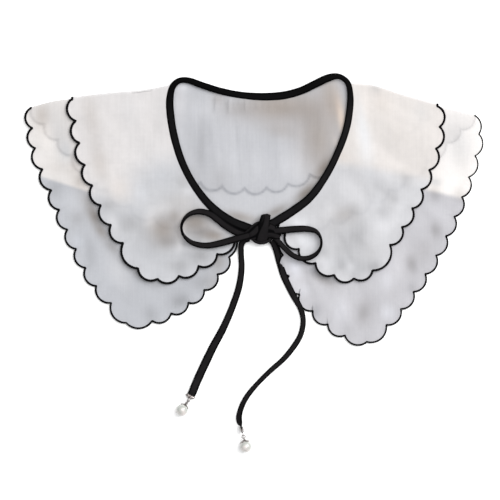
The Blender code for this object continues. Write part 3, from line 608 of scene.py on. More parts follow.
# Painted shade and painted light on the cloth, some tinted warm: shadows cast beside the short
# cape's hem, the binding and the bow, shade of soft folds, and patches painted lighter where
# shadow is taken back: x, y, half width, half height, turn, how dark (lighter where negative), how warm
PAINTED_SHADE_PATCHES = {
    ("long", "front"): (
        (-139.0, 6.0, 6.0, 15.0, 20.0, 0.24, 0.6),
        (-134.5, -5.0, 4.5, 8.0, 25.0, 0.50, 0.4),
        (-128.5, -17.5, 4.5, 8.0, 35.0, 0.46, 0.4),
        (-119.5, -30.5, 5.0, 8.0, 42.0, 0.38, 0.2),
        (-108.5, -42.0, 8.0, 5.0, -45.0, 0.32, 0.1),
        (-97.5, -52.5, 9.0, 4.5, -35.0, 0.46, 0.1),
        (-84.0, -61.5, 9.0, 4.5, -14.0, 0.26, 0.1),
        (-179.0, 80.0, 6.0, 12.0, 0.0, 0.26, 0.3),
        (-158.5, 50.0, 5.0, 8.0, 0.0, 0.06, -1.6),
        (-168.5, 19.0, 9.0, 8.0, -20.0, 0.20, 0.0),
        (-148.0, 24.0, 5.0, 6.0, 0.0, 0.22, 0.3),
        (-149.0, -6.0, 6.0, 7.0, 0.0, 0.20, 0.2),
        (-138.0, -36.0, 5.0, 12.0, 0.0, 0.18, 0.0),
        (-148.0, -26.0, 5.0, 6.0, 0.0, -0.18, 0.3),
        (-87.0, -88.0, 6.0, 7.0, 0.0, 0.22, 0.0),
        (-61.0, -77.0, 8.0, 6.0, 15.0, 0.32, 0.0),
        (-44.0, -61.0, 9.0, 7.0, 0.0, 0.22, 0.0),
        (-150.0, 8.0, 9.0, 12.0, 0.0, -0.10, -0.3),
        (-114.0, -52.0, 9.0, 16.0, 28.0, -0.14, -0.5),
        (-103.0, -74.0, 13.0, 16.0, 0.0, 0.04, 0.0),
        (-146.0, -24.0, 6.0, 9.0, 0.0, 0.08, 0.1),
        (-66.0, -72.0, 12.0, 12.0, 0.0, 0.09, 0.0),
        (-29.0, -43.0, 7.0, 9.0, 0.0, 0.34, 0.4),
        (-34.0, -62.0, 7.0, 8.0, 0.0, 0.16, 0.5),
        (-166.0, 36.0, 10.0, 6.0, 0.0, 0.10, 0.4),
        (-152.0, 36.0, 6.0, 10.0, 0.0, 0.10, 0.7),
        (-176.0, 68.0, 6.0, 20.0, 10.0, -0.08, -0.5),
        (-163.0, 62.0, 8.0, 24.0, 15.0, 0.07, -0.8),
        (160.0, 2.0, 7.0, 14.0, 20.0, -0.03, 0.2),
        (154.0, 18.0, 6.0, 4.0, -10.0, 0.10, 0.8),
        (155.0, 40.0, 6.0, 18.0, 12.0, 0.07, 0.4),
        (166.0, 66.0, 16.0, 10.0, -20.0, 0.08, -0.2),
        (176.0, 52.0, 12.0, 18.0, 0.0, 0.20, -0.2),
        (137.0, 34.0, 6.0, 4.5, -30.0, 0.36, 0.2),
        (156.0, 24.0, 5.0, 4.0, 0.0, 0.26, -0.2),
        (155.5, 13.0, 5.0, 6.0, 20.0, 0.30, 0.0),
        (176.0, 14.0, 6.0, 6.0, 0.0, 0.22, 0.2),
        (135.5, -46.0, 5.0, 8.0, 10.0, 0.38, 0.1),
        (156.0, -16.5, 5.0, 7.0, 10.0, 0.34, 0.1),
        (135.5, -66.0, 5.0, 5.0, 0.0, 0.22, 0.0),
        (115.0, -87.0, 6.0, 7.0, 0.0, -0.26, 0.2),
        (114.0, -60.0, 6.0, 8.0, 0.0, -0.14, 0.2),
        (94.5, -87.0, 5.0, 8.0, -12.0, 0.26, 0.1),
        (74.5, -87.0, 6.0, 10.0, 0.0, -0.18, 0.2),
        (54.0, -86.0, 4.0, 6.0, 0.0, 0.28, -0.1),
        (64.0, -57.5, 8.0, 4.0, -14.0, 0.32, -0.2),
        (36.0, -47.0, 6.0, 8.0, 0.0, -0.34, 0.3),
        (53.0, -52.0, 7.0, 4.0, -25.0, 0.30, -0.3),
        (44.0, -68.0, 5.0, 5.0, 0.0, -0.18, 0.2),
        (178.0, 40.0, 7.0, 18.0, 14.0, 0.05, 0.4),
        (146.0, -34.0, 10.0, 12.0, -10.0, 0.15, 0.2),
        (125.0, -42.0, 9.0, 16.0, -20.0, -0.10, -0.2),
        (136.0, -8.0, 8.0, 12.0, 10.0, -0.06, 0.1),
        (96.0, -86.0, 8.0, 16.0, -8.0, 0.14, 0.2),
        (83.0, -101.0, 7.0, 7.0, 0.0, 0.08, 0.0),
        (60.0, -57.0, 13.0, 5.0, -30.0, 0.38, 0.3),
        (38.0, -56.0, 8.0, 14.0, 0.0, -0.16, 0.0),
        (72.0, -78.0, 12.0, 10.0, -20.0, -0.06, 0.0),
        (122.0, -68.0, 6.0, 12.0, -20.0, 0.06, 0.1),
        (104.0, -66.0, 7.0, 8.0, -20.0, -0.05, 0.1),
    ),
    ("long", "back"): (
        (56.0, 61.0, 17.0, 34.0, 8.0, 0.35, 0.8),
        (22.0, 88.0, 32.0, 14.0, 0.0, 0.40, 0.8),
        (50.0, 88.0, 14.0, 10.0, 0.0, 0.06, 1.0),
        (68.0, 94.0, 9.0, 26.0, 14.0, 0.26, 1.2),
        (24.0, 68.0, 14.0, 7.0, -10.0, 0.16, 0.8),
        (-14.0, 86.0, 14.0, 7.0, 0.0, 0.16, 0.4),
        (-29.0, 96.0, 6.0, 7.0, 0.0, 0.20, 0.5),
        (36.0, 36.0, 15.0, 18.0, 0.0, -0.16, -0.1),
        (77.5, 72.0, 3.4, 22.0, 12.0, -0.56, -1.3),
        (73.0, 54.0, 3.0, 9.0, 20.0, -0.22, -1.0),
        (-63.0, 92.0, 7.0, 18.0, 0.0, -0.16, -0.4),
        (-59.0, 105.0, 5.0, 4.0, 0.0, -0.20, 0.0),
        (-60.0, 60.0, 3.0, 18.0, 12.0, -0.10, 0.0),
        (-43.5, 55.0, 4.5, 24.0, 0.0, 0.20, 0.0),
        (-28.0, 26.0, 9.0, 12.0, 0.0, 0.12, 0.2),
        (60.0, 36.0, 11.0, 4.5, 58.0, 0.50, 0.4),
        (45.0, 15.0, 12.0, 4.5, 44.0, 0.66, 0.3),
        (20.0, -1.0, 12.0, 4.0, 28.0, 0.52, 0.3),
        (-14.0, -4.0, 8.0, 4.0, -20.0, 0.20, 0.4),
        (-22.0, 48.0, 10.0, 26.0, 0.0, -0.06, -0.1),
        (-2.0, 36.0, 16.0, 14.0, 0.0, -0.07, -0.1),
        (-40.0, 86.0, 12.0, 8.0, 0.0, -0.10, -0.1),
        (50.0, 14.0, 12.0, 8.0, 0.0, 0.12, 0.4),
        (-8.0, -6.0, 14.0, 4.0, -12.0, 0.34, 0.6),
    ),
    ("short", "front"): (
        (-76.0, -16.0, 13.0, 13.0, 0.0, 0.44, 0.5),
        (-49.0, -9.5, 14.0, 11.0, 0.0, 0.50, 0.4),
        (-40.0, -20.0, 10.0, 6.0, 0.0, 0.30, 0.3),
        (-60.5, -17.0, 3.0, 12.0, -8.0, -0.56, -0.2),
        (-46.0, -32.0, 14.0, 3.2, 0.0, -0.42, -0.1),
        (-62.0, 8.0, 14.0, 7.0, 0.0, 0.10, 0.8),
        (-78.0, 34.0, 9.0, 16.0, 20.0, 0.04, -0.6),
        (-80.0, 0.0, 11.0, 5.0, 20.0, -0.16, -0.2),
        (-95.0, 14.0, 6.0, 8.0, 0.0, -0.04, 0.9),
        (-113.0, 17.0, 11.0, 11.0, 0.0, -0.12, -1.9),
        (-130.0, 40.0, 7.0, 14.0, 10.0, 0.14, 0.6),
        (-104.0, 84.0, 10.0, 16.0, 0.0, 0.04, -0.7),
        (-137.0, 79.0, 7.0, 22.0, 10.0, 0.16, 0.4),
        (-78.0, 84.0, 8.0, 26.0, 0.0, 0.08, -0.2),
        (-96.0, 40.0, 18.0, 22.0, 0.0, 0.05, -0.6),
        (-84.0, -38.0, 18.0, 10.0, 0.0, 0.03, -0.2),
        (-104.0, -18.0, 8.0, 12.0, 30.0, -0.06, -0.2),
        (-30.0, -32.0, 9.0, 6.0, 0.0, 0.10, 0.0),
        (-32.0, -21.5, 9.0, 5.0, -10.0, 0.38, 0.6),
        (49.0, -27.5, 9.0, 7.0, 0.0, -0.24, 0.1),
        (57.0, -42.0, 8.0, 4.0, 0.0, -0.18, 0.0),
        (74.0, -33.0, 8.0, 8.0, 0.0, 0.12, 0.0),
        (-107.0, 33.0, 16.0, 26.0, 10.0, -0.08, -0.3),
        (-104.0, -11.0, 10.0, 9.0, 0.0, 0.22, 0.1),
        (-87.0, -10.0, 5.0, 6.5, 0.0, -0.26, -0.2),
        (-118.0, -11.0, 4.0, 8.0, 20.0, -0.22, -0.2),
        (-72.0, -27.0, 9.0, 6.0, 0.0, 0.28, 0.2),
        (-66.5, -4.5, 5.0, 6.0, 0.0, 0.26, 0.4),
        (-122.0, 4.0, 6.0, 5.0, 0.0, 0.18, 0.1),
        (-64.0, -47.0, 10.0, 6.0, 0.0, 0.20, 0.1),
        (-44.0, -39.0, 9.0, 6.0, 0.0, 0.24, 0.1),
        (-58.0, 24.0, 6.0, 9.0, 0.0, 0.16, 0.2),
        (-56.0, 17.0, 4.0, 4.0, 0.0, -0.16, 0.0),
        (105.0, 104.0, 5.0, 5.0, 0.0, 0.20, -0.2),
        (85.0, 0.0, 7.0, 7.0, 0.0, 0.20, 0.1),
        (90.0, -20.0, 8.0, 12.0, 0.0, 0.26, 0.0),
        (66.0, -1.0, 6.0, 9.0, 0.0, -0.26, 0.0),
        (117.0, -11.0, 13.0, 8.0, 20.0, -0.28, 0.0),
        (124.0, 4.0, 6.0, 5.0, 0.0, -0.20, 0.0),
        (40.0, -11.0, 9.0, 5.0, 0.0, -0.26, 0.1),
        (105.0, 6.0, 5.0, 5.0, 0.0, -0.20, 0.0),
        (75.0, -47.0, 5.0, 5.0, 0.0, 0.20, 0.0),
        (104.0, -48.0, 6.0, 6.0, 0.0, 0.26, 0.0),
        (84.0, -48.0, 4.0, 4.0, 0.0, -0.22, 0.0),
        (64.0, -47.0, 4.0, 5.0, 0.0, -0.22, 0.0),
        (76.0, 46.0, 5.0, 7.0, 20.0, 0.10, 0.6),
        (110.0, 92.0, 8.0, 12.0, 20.0, 0.04, 1.4),
        (124.0, 66.0, 8.0, 14.0, 25.0, 0.05, 0.3),
        (94.5, 66.0, 6.0, 24.0, 10.0, -0.14, 1.6),
        (97.0, 84.0, 4.0, 18.0, 10.0, -0.05, -0.9),
        (143.0, 84.0, 7.0, 10.0, 0.0, 0.05, -1.0),
        (94.0, 44.0, 6.0, 10.0, 20.0, -0.02, 2.4),
        (118.0, 10.0, 6.0, 9.0, 0.0, 0.10, 0.1),
        (130.0, 26.0, 5.0, 8.0, 20.0, 0.16, 0.1),
        (78.0, -4.0, 9.0, 7.0, 0.0, 0.14, 0.6),
        (66.0, -8.0, 10.0, 16.0, 0.0, 0.10, 0.2),
        (60.0, -24.0, 8.0, 14.0, 0.0, 0.08, -0.1),
        (92.0, 18.0, 12.0, 14.0, 10.0, -0.07, -0.2),
        (100.0, -34.0, 8.0, 12.0, 0.0, 0.06, 0.2),
        (90.0, -48.0, 10.0, 7.0, 0.0, 0.14, -0.1),
        (72.0, -44.0, 10.0, 7.0, 0.0, 0.10, -0.2),
        (42.0, -24.0, 9.0, 7.0, 0.0, -0.16, 0.1),
    ),
    ("short", "back"): (
        (-40.0, 60.0, 16.0, 22.0, 0.0, 0.05, 0.0),
        (34.0, 62.0, 18.0, 20.0, 0.0, 0.05, 0.2),
        (0.0, 40.0, 18.0, 14.0, 0.0, -0.03, 0.0),
    ),
}


def puckers(*tables):
    """Where the rolled hem draws the cloth in: points between scallops with the
    way in from the hem and a strength, and the middles of the scallops."""
    notches, middles = [], []
    for n, rows in enumerate(tables):
        cusps, arcs = scalloped(rows, 1)
        for k in range(1, len(cusps) - 1):
            along = cusps[k + 1] - cusps[k - 1]
            along = along / np.linalg.norm(along)
            strong = 0.7 + 1.1 * noise.noise(Vector((k * 0.9, n * 4.1, 2.2)))
            notches.append((*cusps[k], along[1], -along[0], max(strong, 0.1)))
        middles += [np.mean([a[SEGMENTS // 2 - 1], (cusps[k] + cusps[k + 1]) / 2], axis=0) for k, a in enumerate(arcs)]
    return np.array(notches), np.array(middles)


PUCKERS = {"long": puckers(LONG_FRONT_LEFT, LONG_FRONT_RIGHT), "short": puckers(SHORT_FRONT_LEFT, SHORT_FRONT_RIGHT)}


def painted_pucker_shade(cape, P):
    """Painted shade and painted light of the puckers: darker in from each notch, lighter in each scallop."""
    notches, middles = PUCKERS[cape]
    dx, dy = P[:, :1] - notches[None, :, 0], P[:, 1:2] - notches[None, :, 1]
    inward = dx * notches[:, 2] + dy * notches[:, 3]
    across = dx * notches[:, 3] - dy * notches[:, 2]
    dark = np.sum(notches[:, 4] * np.exp(-(((inward - 2.5) / 3.4) ** 2) - (across / 1.3) ** 2), axis=1)
    r2 = (P[:, :1] - middles[None, :, 0]) ** 2 + (P[:, 1:2] - middles[None, :, 1]) ** 2
    light = np.sum(np.exp(-r2 / 2.6**2), axis=1)
    return 1 - 0.075 * dark + 0.045 * light


def outline(rows, side):
    cusps, arcs = scalloped(rows, side)
    return np.array([p for k, a in enumerate(arcs) for p in [cusps[k], *a]])


HEM_LONG, HEM_SHORT = outline(LONG_BACK, -1), outline(SHORT_BACK, -1)
# Hems that show through the cloth above them: line, half width, how dark
SEEN_THROUGH = {
    ("long", "back"): ((HEM_SHORT, 1.15, 0.17),),
    ("long", "front"): ((HEM_LONG, 1.3, 0.12),),
    ("short", "front"): ((HEM_LONG, 1.6, 0.06), (HEM_SHORT, 1.6, 0.03)),
    ("short", "back"): (),
}

LIGHT_SHARE = 0.86  # of the measured tone, since the studio light is above 1


def tone(cape, panel, P):
    """Colour of the cloth at points P of one panel of one cape, with its painted shade and painted light."""
    if panel == "back":
        colour = np.tile(BACK_TONE[cape], (len(P), 1))
    else:
        colour = np.zeros((len(P), 3))
        for side in ("left", "right"):
            x0, y0, x1, y1, soft, above, below = ZONES[cape, side]
            dx, dy = x1 - x0, y1 - y0
            up = ((P[:, 1] - y0) * dx - (P[:, 0] - x0) * dy) / math.hypot(dx, dy)
            share = ramp(0.5 + up / soft / 2)[:, None]
            here = (P[:, 0] < 8.0) if side == "left" else (P[:, 0] >= 8.0)
            colour += here[:, None] * (above * share + below * (1 - share))
    # painted shade and painted light from the patches, tinted warm or cool
    for x, y, rx, ry, turn, dark, warm in PAINTED_SHADE_PATCHES[cape, panel]:
        g = bump_at(P, x, y, rx, ry, turn)
        for c, w in enumerate((-0.28, 0.0, 0.28)):
            colour[:, c] *= 1 - dark * (1 + warm * w) * g
    uneven = 0.020 * wobble(P, 30.0, 11 if cape == "long" else 12) + 0.010 * wobble(P, 11.0, 13)
    if panel == "front":
        # painted shade in from each notch and painted light in each scallop
        colour *= painted_pucker_shade(cape, P)[:, None]
    for line, half, dark in SEEN_THROUGH[cape, panel]:
        colour *= 1 - dark * np.exp(-((from_line(P, line) / half) ** 2))[:, None] * np.array([1.05, 1.0, 0.9])
    return np.clip(colour * LIGHT_SHARE * (1 + uneven[:, None]), 0.0, 1.0)


# ---------------------------------------------------------------- node help
class Tree:
    """Short calls for a material's nodes."""

    def __init__(self, name):
        self.mat = bpy.data.materials.new(name)
        self.mat.use_nodes = True
        self.nodes = self.mat.node_tree.nodes
        self.shader = self.nodes["Principled BSDF"]

    def put(self, socket, value):
        if isinstance(value, bpy.types.NodeSocket):
            self.mat.node_tree.links.new(value, socket)
        else:
            socket.default_value = value

    def math(self, operation, *values, clamp=False):
        n = self.nodes.new("ShaderNodeMath")
        n.operation = operation
        n.use_clamp = clamp
        for i, v in enumerate(values):
            self.put(n.inputs[i], v)
        return n.outputs[0]

    def attribute(self, name):
        n = self.nodes.new("ShaderNodeAttribute")
        n.attribute_name = name
        return n

    def place(self):
        return self.nodes.new("ShaderNodeTexCoord").outputs["Object"]

    def split(self, vector):
        n = self.nodes.new("ShaderNodeSeparateXYZ")
        self.put(n.inputs[0], vector)
        return n.outputs

    def scaled(self, vector, scale):
        n = self.nodes.new("ShaderNodeMapping")
        self.put(n.inputs["Vector"], vector)
        n.inputs["Scale"].default_value = scale
        return n.outputs[0]

    def noise(self, vector, scale, detail=2.0, roughness=0.5):
        n = self.nodes.new("ShaderNodeTexNoise")
        self.put(n.inputs["Vector"], vector)
        n.inputs["Scale"].default_value = scale
        n.inputs["Detail"].default_value = detail
        n.inputs["Roughness"].default_value = roughness
        return n.outputs["Fac"]

    def span(self, value, low, high, to_low, to_high):
        n = self.nodes.new("ShaderNodeMapRange")
        self.put(n.inputs["Value"], value)
        for key, v in (("From Min", low), ("From Max", high), ("To Min", to_low), ("To Max", to_high)):
            n.inputs[key].default_value = v
        return n.outputs[0]

    def mix(self, share, a, b, blend="MIX"):
        n = self.nodes.new("ShaderNodeMix")
        n.data_type = "RGBA"
        n.blend_type = blend
        self.put(n.inputs[0], share)
        self.put(n.inputs[6], a)
        self.put(n.inputs[7], b)
        return n.outputs[2]

    def grey(self, value):
        n = self.nodes.new("ShaderNodeCombineColor")
        for i in range(3):
            self.put(n.inputs[i], value)
        return n.outputs[0]

    def bump(self, height, strength, distance):
        n = self.nodes.new("ShaderNodeBump")
        self.put(n.inputs["Height"], height)
        n.inputs["Strength"].default_value = strength
        n.inputs["Distance"].default_value = distance
        self.put(self.shader.inputs["Normal"], n.outputs[0])


def weave(tree, vector, pitch):
    """Plain weave of that pitch in metres, 0 to 1: yarns that pass over and
    under each other."""
    x, y, _ = tree.split(vector)
    a = tree.math("SINE", tree.math("MULTIPLY", x, 2 * math.pi / pitch))
    b = tree.math("SINE", tree.math("MULTIPLY", y, 2 * math.pi / pitch))
    return tree.span(tree.math("MULTIPLY", a, b), -1.0, 1.0, 0.0, 1.0)


def cloth(name, alpha):
    """Sheer crepe chiffon: fine weave, slubs along the warp, soft sheen."""
    t = Tree(name)
    where = t.place()
    yarns = weave(t, where, 0.00055)
    slub = t.noise(t.scaled(where, (620.0, 26.0, 26.0)), 1.0, 3.0, 0.6)
    cross = t.noise(t.scaled(where, (20.0, 480.0, 20.0)), 1.0, 2.0, 0.5)
    crepe = t.noise(where, 260.0, 3.0, 0.65)
    light = t.math("ADD", t.span(slub, 0.3, 0.7, 0.970, 1.022), t.span(cross, 0.3, 0.7, -0.007, 0.007))
    light = t.math("MULTIPLY", light, t.span(crepe, 0.3, 0.7, 0.975, 1.02))
    light = t.math("MULTIPLY", light, t.span(yarns, 0.0, 1.0, 0.975, 1.02))
    colour = t.mix(1.0, t.attribute("tone").outputs["Color"], t.grey(light), "MULTIPLY")
    s = t.shader.inputs
    t.put(s["Base Color"], colour)
    t.put(s["Roughness"], t.span(crepe, 0.3, 0.7, 0.72, 0.88))
    s["Specular IOR Level"].default_value = 0.25
    s["Sheen Weight"].default_value = 0.12
    s["Sheen Roughness"].default_value = 0.4
    s["Alpha"].default_value = alpha
    t.bump(t.math("ADD", t.math("MULTIPLY", yarns, 0.35), t.math("ADD", slub, crepe)), 0.22, 0.00018)
    return t.mat


def tape(name, shade, light, paint_light_by_place=False):
    """Black bias tape: diagonal twill, painted shade darkening it towards its
    folds with a painted lighter middle, seam line in the fold. run is the distance along and across, in metres."""
    t = Tree(name)
    run = t.attribute("run").outputs["Vector"]
    along, across, edge = t.split(run)
    twill = t.math("SINE", t.math("MULTIPLY", t.math("ADD", along, across), 2 * math.pi / 0.0006))
    twill = t.span(twill, -1.0, 1.0, 0.0, 1.0)
    lint = t.noise(t.place(), 900.0, 3.0, 0.7)
    cloudy = t.noise(t.place(), 110.0, 2.0, 0.5)
    light_here = t.math("MULTIPLY", t.span(cloudy, 0.3, 0.7, 0.8, 1.2), t.span(twill, 0.0, 1.0, 0.85, 1.12))
    # edge runs from 0 in the middle of the tape to 1 at its fold
    seam = t.span(t.math("ABSOLUTE", t.math("SUBTRACT", edge, 0.70)), 0.0, 0.10, 1.0, 0.0)
    light_here = t.math("MULTIPLY", light_here, t.span(seam, 0.0, 1.0, 1.0, 0.35))
    # painted light and shade by place: lighter towards the right, the side the key light comes from, and darker round
    # the back of the neck
    if paint_light_by_place:
        x, y, _ = t.split(t.place())
        light_here = t.math("MULTIPLY", light_here, t.span(x, -0.06, 0.08, 0.75, 1.25))
        light_here = t.math("MULTIPLY", light_here, t.span(y, 0.080, 0.100, 1.25, 0.42))
    # painted shade: from the lit colour in the middle of the tape to the shaded colour at its folds
    base = t.mix(t.span(edge, 0.45, 0.85, 0.0, 1.0), light, shade)
    colour = t.mix(1.0, base, t.grey(light_here), "MULTIPLY")
    colour = t.mix(t.span(lint, 0.66, 0.80, 0.0, 0.25), colour, (0.022, 0.021, 0.023, 1.0))
    s = t.shader.inputs
    t.put(s["Base Color"], colour)
    t.put(s["Roughness"], t.span(cloudy, 0.3, 0.7, 0.62, 0.80))
    s["Specular IOR Level"].default_value = 0.02
    t.bump(t.math("ADD", t.math("MULTIPLY", twill, 0.5), lint), 0.30, 0.00012)
    return t.mat


def thread(name):
    """Black overlock thread of the rolled edge: slanting stitches."""
    t = Tree(name)
    run = t.attribute("run").outputs["Vector"]
    along, across, _ = t.split(run)
    lean = t.math("ADD", along, t.math("MULTIPLY", across, 0.35))
    ply = t.span(t.math("SINE", t.math("MULTIPLY", lean, 2 * math.pi / 0.0009)), -1.0, 1.0, 0.0, 1.0)
    fuzz = t.noise(t.place(), 1400.0, 2.0, 0.6)
    light = t.math("MULTIPLY", t.span(ply, 0.0, 1.0, 0.5, 1.3), t.span(fuzz, 0.3, 0.7, 0.8, 1.3))
    t.put(t.shader.inputs["Base Color"], t.mix(1.0, (0.0028, 0.0028, 0.0031, 1.0), t.grey(light), "MULTIPLY"))
    t.put(t.shader.inputs["Roughness"], t.span(fuzz, 0.3, 0.7, 0.55, 0.75))
    t.shader.inputs["Specular IOR Level"].default_value = 0.02
    t.bump(t.math("ADD", ply, t.math("MULTIPLY", fuzz, 0.3)), 0.35, 0.00015)
    return t.mat


def plated(name):
    """Bright plated metal with fine scratches and dull spots."""
    t = Tree(name)
    where = t.place()
    spots = t.noise(where, 650.0, 3.0, 0.6)
    scratches = t.noise(t.scaled(where, (300.0, 2600.0, 900.0)), 1.0, 2.0, 0.6)
    wear = t.noise(where, 240.0, 2.0, 0.5)
    colour = t.mix(t.span(spots, 0.40, 0.62, 0.0, 1.0), (0.30, 0.275, 0.265, 1.0), (0.085, 0.074, 0.072, 1.0))
    s = t.shader.inputs
    t.put(s["Base Color"], colour)
    s["Metallic"].default_value = 1.0
    t.put(s["Roughness"], t.math("ADD", t.span(scratches, 0.3, 0.7, 0.14, 0.26), t.span(wear, 0.3, 0.7, 0.0, 0.14)))
    t.bump(t.math("ADD", spots, scratches), 0.25, 0.00006)
    return t.mat


def nacre(name):
    """Imitation pearl: warm white with a grey-green cast in places, deep gloss."""
    t = Tree(name)
    where = t.place()
    cast = t.noise(where, 170.0, 1.5, 0.4)
    skin = t.noise(where, 1500.0, 2.0, 0.5)
    colour = t.mix(t.span(cast, 0.38, 0.62, 0.0, 1.0), (0.55, 0.51, 0.49, 1.0), (0.37, 0.385, 0.36, 1.0))
    s = t.shader.inputs
    t.put(s["Base Color"], colour)
    t.put(s["Roughness"], t.span(skin, 0.3, 0.7, 0.22, 0.30))
    s["Specular IOR Level"].default_value = 0.6
    s["Coat Weight"].default_value = 0.7
    s["Coat Roughness"].default_value = 0.08
    s["Sheen Weight"].default_value = 0.08
    s["Sheen Tint"].default_value = (1.0, 0.90, 0.88, 1.0)
    t.bump(skin, 0.08, 0.00004)
    return t.mat


CLOTH_LONG = cloth("chiffon_long", 0.74)
CLOTH_SHORT = cloth("chiffon_short", 0.74)
# each tape gets a shaded and a lit colour for its painted shade
TAPE_BAND = tape("bias_tape_binding", (0.0010, 0.0010, 0.0012, 1.0), (0.0048, 0.0046, 0.0050, 1.0), True)
TAPE_TIE = tape("bias_tape_tie", (0.0012, 0.0012, 0.0014, 1.0), (0.0090, 0.0082, 0.0088, 1.0))
THREAD = thread("edge_thread")
METAL = plated("plated_metal")
PEARL = nacre("pearl")


# ---------------------------------------------------------------- meshes
def make(name, points, faces, mat, body, replaces=(), attributes=(), smooth=True):
    """Mesh object from points in mm in the drawing's frame."""
    me = bpy.data.meshes.new(name)
    co = (np.asarray(points, float) - ORIGIN) * MM
    me.from_pydata([tuple(p) for p in co], [], [tuple(int(i) for i in f) for f in faces])
    for key, kind, values in attributes:
        a = me.attributes.new(key, kind, "POINT")
        if kind == "FLOAT_COLOR":
            flat = np.concatenate([values, np.ones((len(values), 1))], axis=1).astype(np.float32).ravel()
            a.data.foreach_set("color", flat)
        else:
            a.data.foreach_set("vector", np.asarray(values, np.float32).ravel())
    me.materials.append(mat)
    if smooth:
        me.shade_smooth()
    me.validate()
    ob = bpy.data.objects.new(name, me)
    scene.collection.objects.link(ob)
    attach(ob, body)
    if replaces:
        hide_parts(*replaces)
    return ob


def face_out(points, faces):
    """Faces of a closed mesh, turned so that they look out."""
    P = np.asarray(points)
    volume = 0.0
    for f in faces:
        for k in range(1, len(f) - 1):
            volume += np.dot(P[f[0]], np.cross(P[f[k]], P[f[k + 1]]))
    return faces if volume > 0 else [tuple(reversed(f)) for f in faces]


def tube(path, sides_at, normals=None, closed=False, side_hint=None):
    """Points and faces of a section carried along path. sides_at(k) gives the
    section's points at ring k as (across, up) rows. The section's up follows
    normals, or Z."""
    n = len(path)
    rings, frames = [], []
    for k in range(n):
        a = path[(k - 1) % n] if closed or k > 0 else path[k]
        b = path[(k + 1) % n] if closed or k < n - 1 else path[k]
        t = b - a
        t = t / max(np.linalg.norm(t), 1e-9)
        up = normals[k] if normals is not None else np.array([0.0, 0.0, 1.0])
        if side_hint is not None:
            s = side_hint - t * np.dot(side_hint, t)
        else:
            s = np.cross(up, t)
        s = s / max(np.linalg.norm(s), 1e-9)
        u = np.cross(t, s)
        frames.append((t, s, u))
        rings.append([path[k] + s * x + u * y for x, y in sides_at(k)])
    m = len(rings[0])
    points = [p for r in rings for p in r]
    faces = []
    for k in range(n if closed else n - 1):
        a, b = k * m, ((k + 1) % n) * m
        for j in range(m):
            faces.append((a + j, a + (j + 1) % m, b + (j + 1) % m, b + j))
    if not closed:
        first, last = len(points), len(points) + 1
        points.append(np.mean(rings[0], axis=0))
        points.append(np.mean(rings[-1], axis=0))
        for j in range(m):
            faces.append((first, (j + 1) % m, j))
            faces.append((last, (n - 1) * m + j, (n - 1) * m + (j + 1) % m))
    return np.array(points), faces, m


# ---------------------------------------------------------------- capes
def soft_max(a, b, k=0.25):
    return 0.5 * (a + b + np.sqrt((a - b) ** 2 + k * k))


def panel_height(cape, panel, P):
    """Height of one panel of one cape at points P, layers kept apart."""
    under = back_long_z(P)
    if panel == "back":
        return under if cape == "long" else np.minimum(back_short_z(P), under - 0.5)
    over_back = ramp((P[:, 1] - np.interp(P[:, 0], HEM_Y[:, 0], HEM_Y[:, 1]) + 10.0) / 14.0)
    floor_z = 0.62 + over_back * (under + 0.60 - 0.62)
    low = soft_max(front_long_z(P), floor_z)
    if cape == "long":
        return low
    return soft_max(front_short_z(P), low + 0.75)


def fold_path(rows):
    """Fold line that starts just under the binding's outer edge."""
    p = np.array(rows, float)
    way = (p[0] - p[1]) / np.linalg.norm(p[0] - p[1])
    return curve([tuple(p[0] + way * 1.6)] + [tuple(r) for r in p[1:]], 1.0)


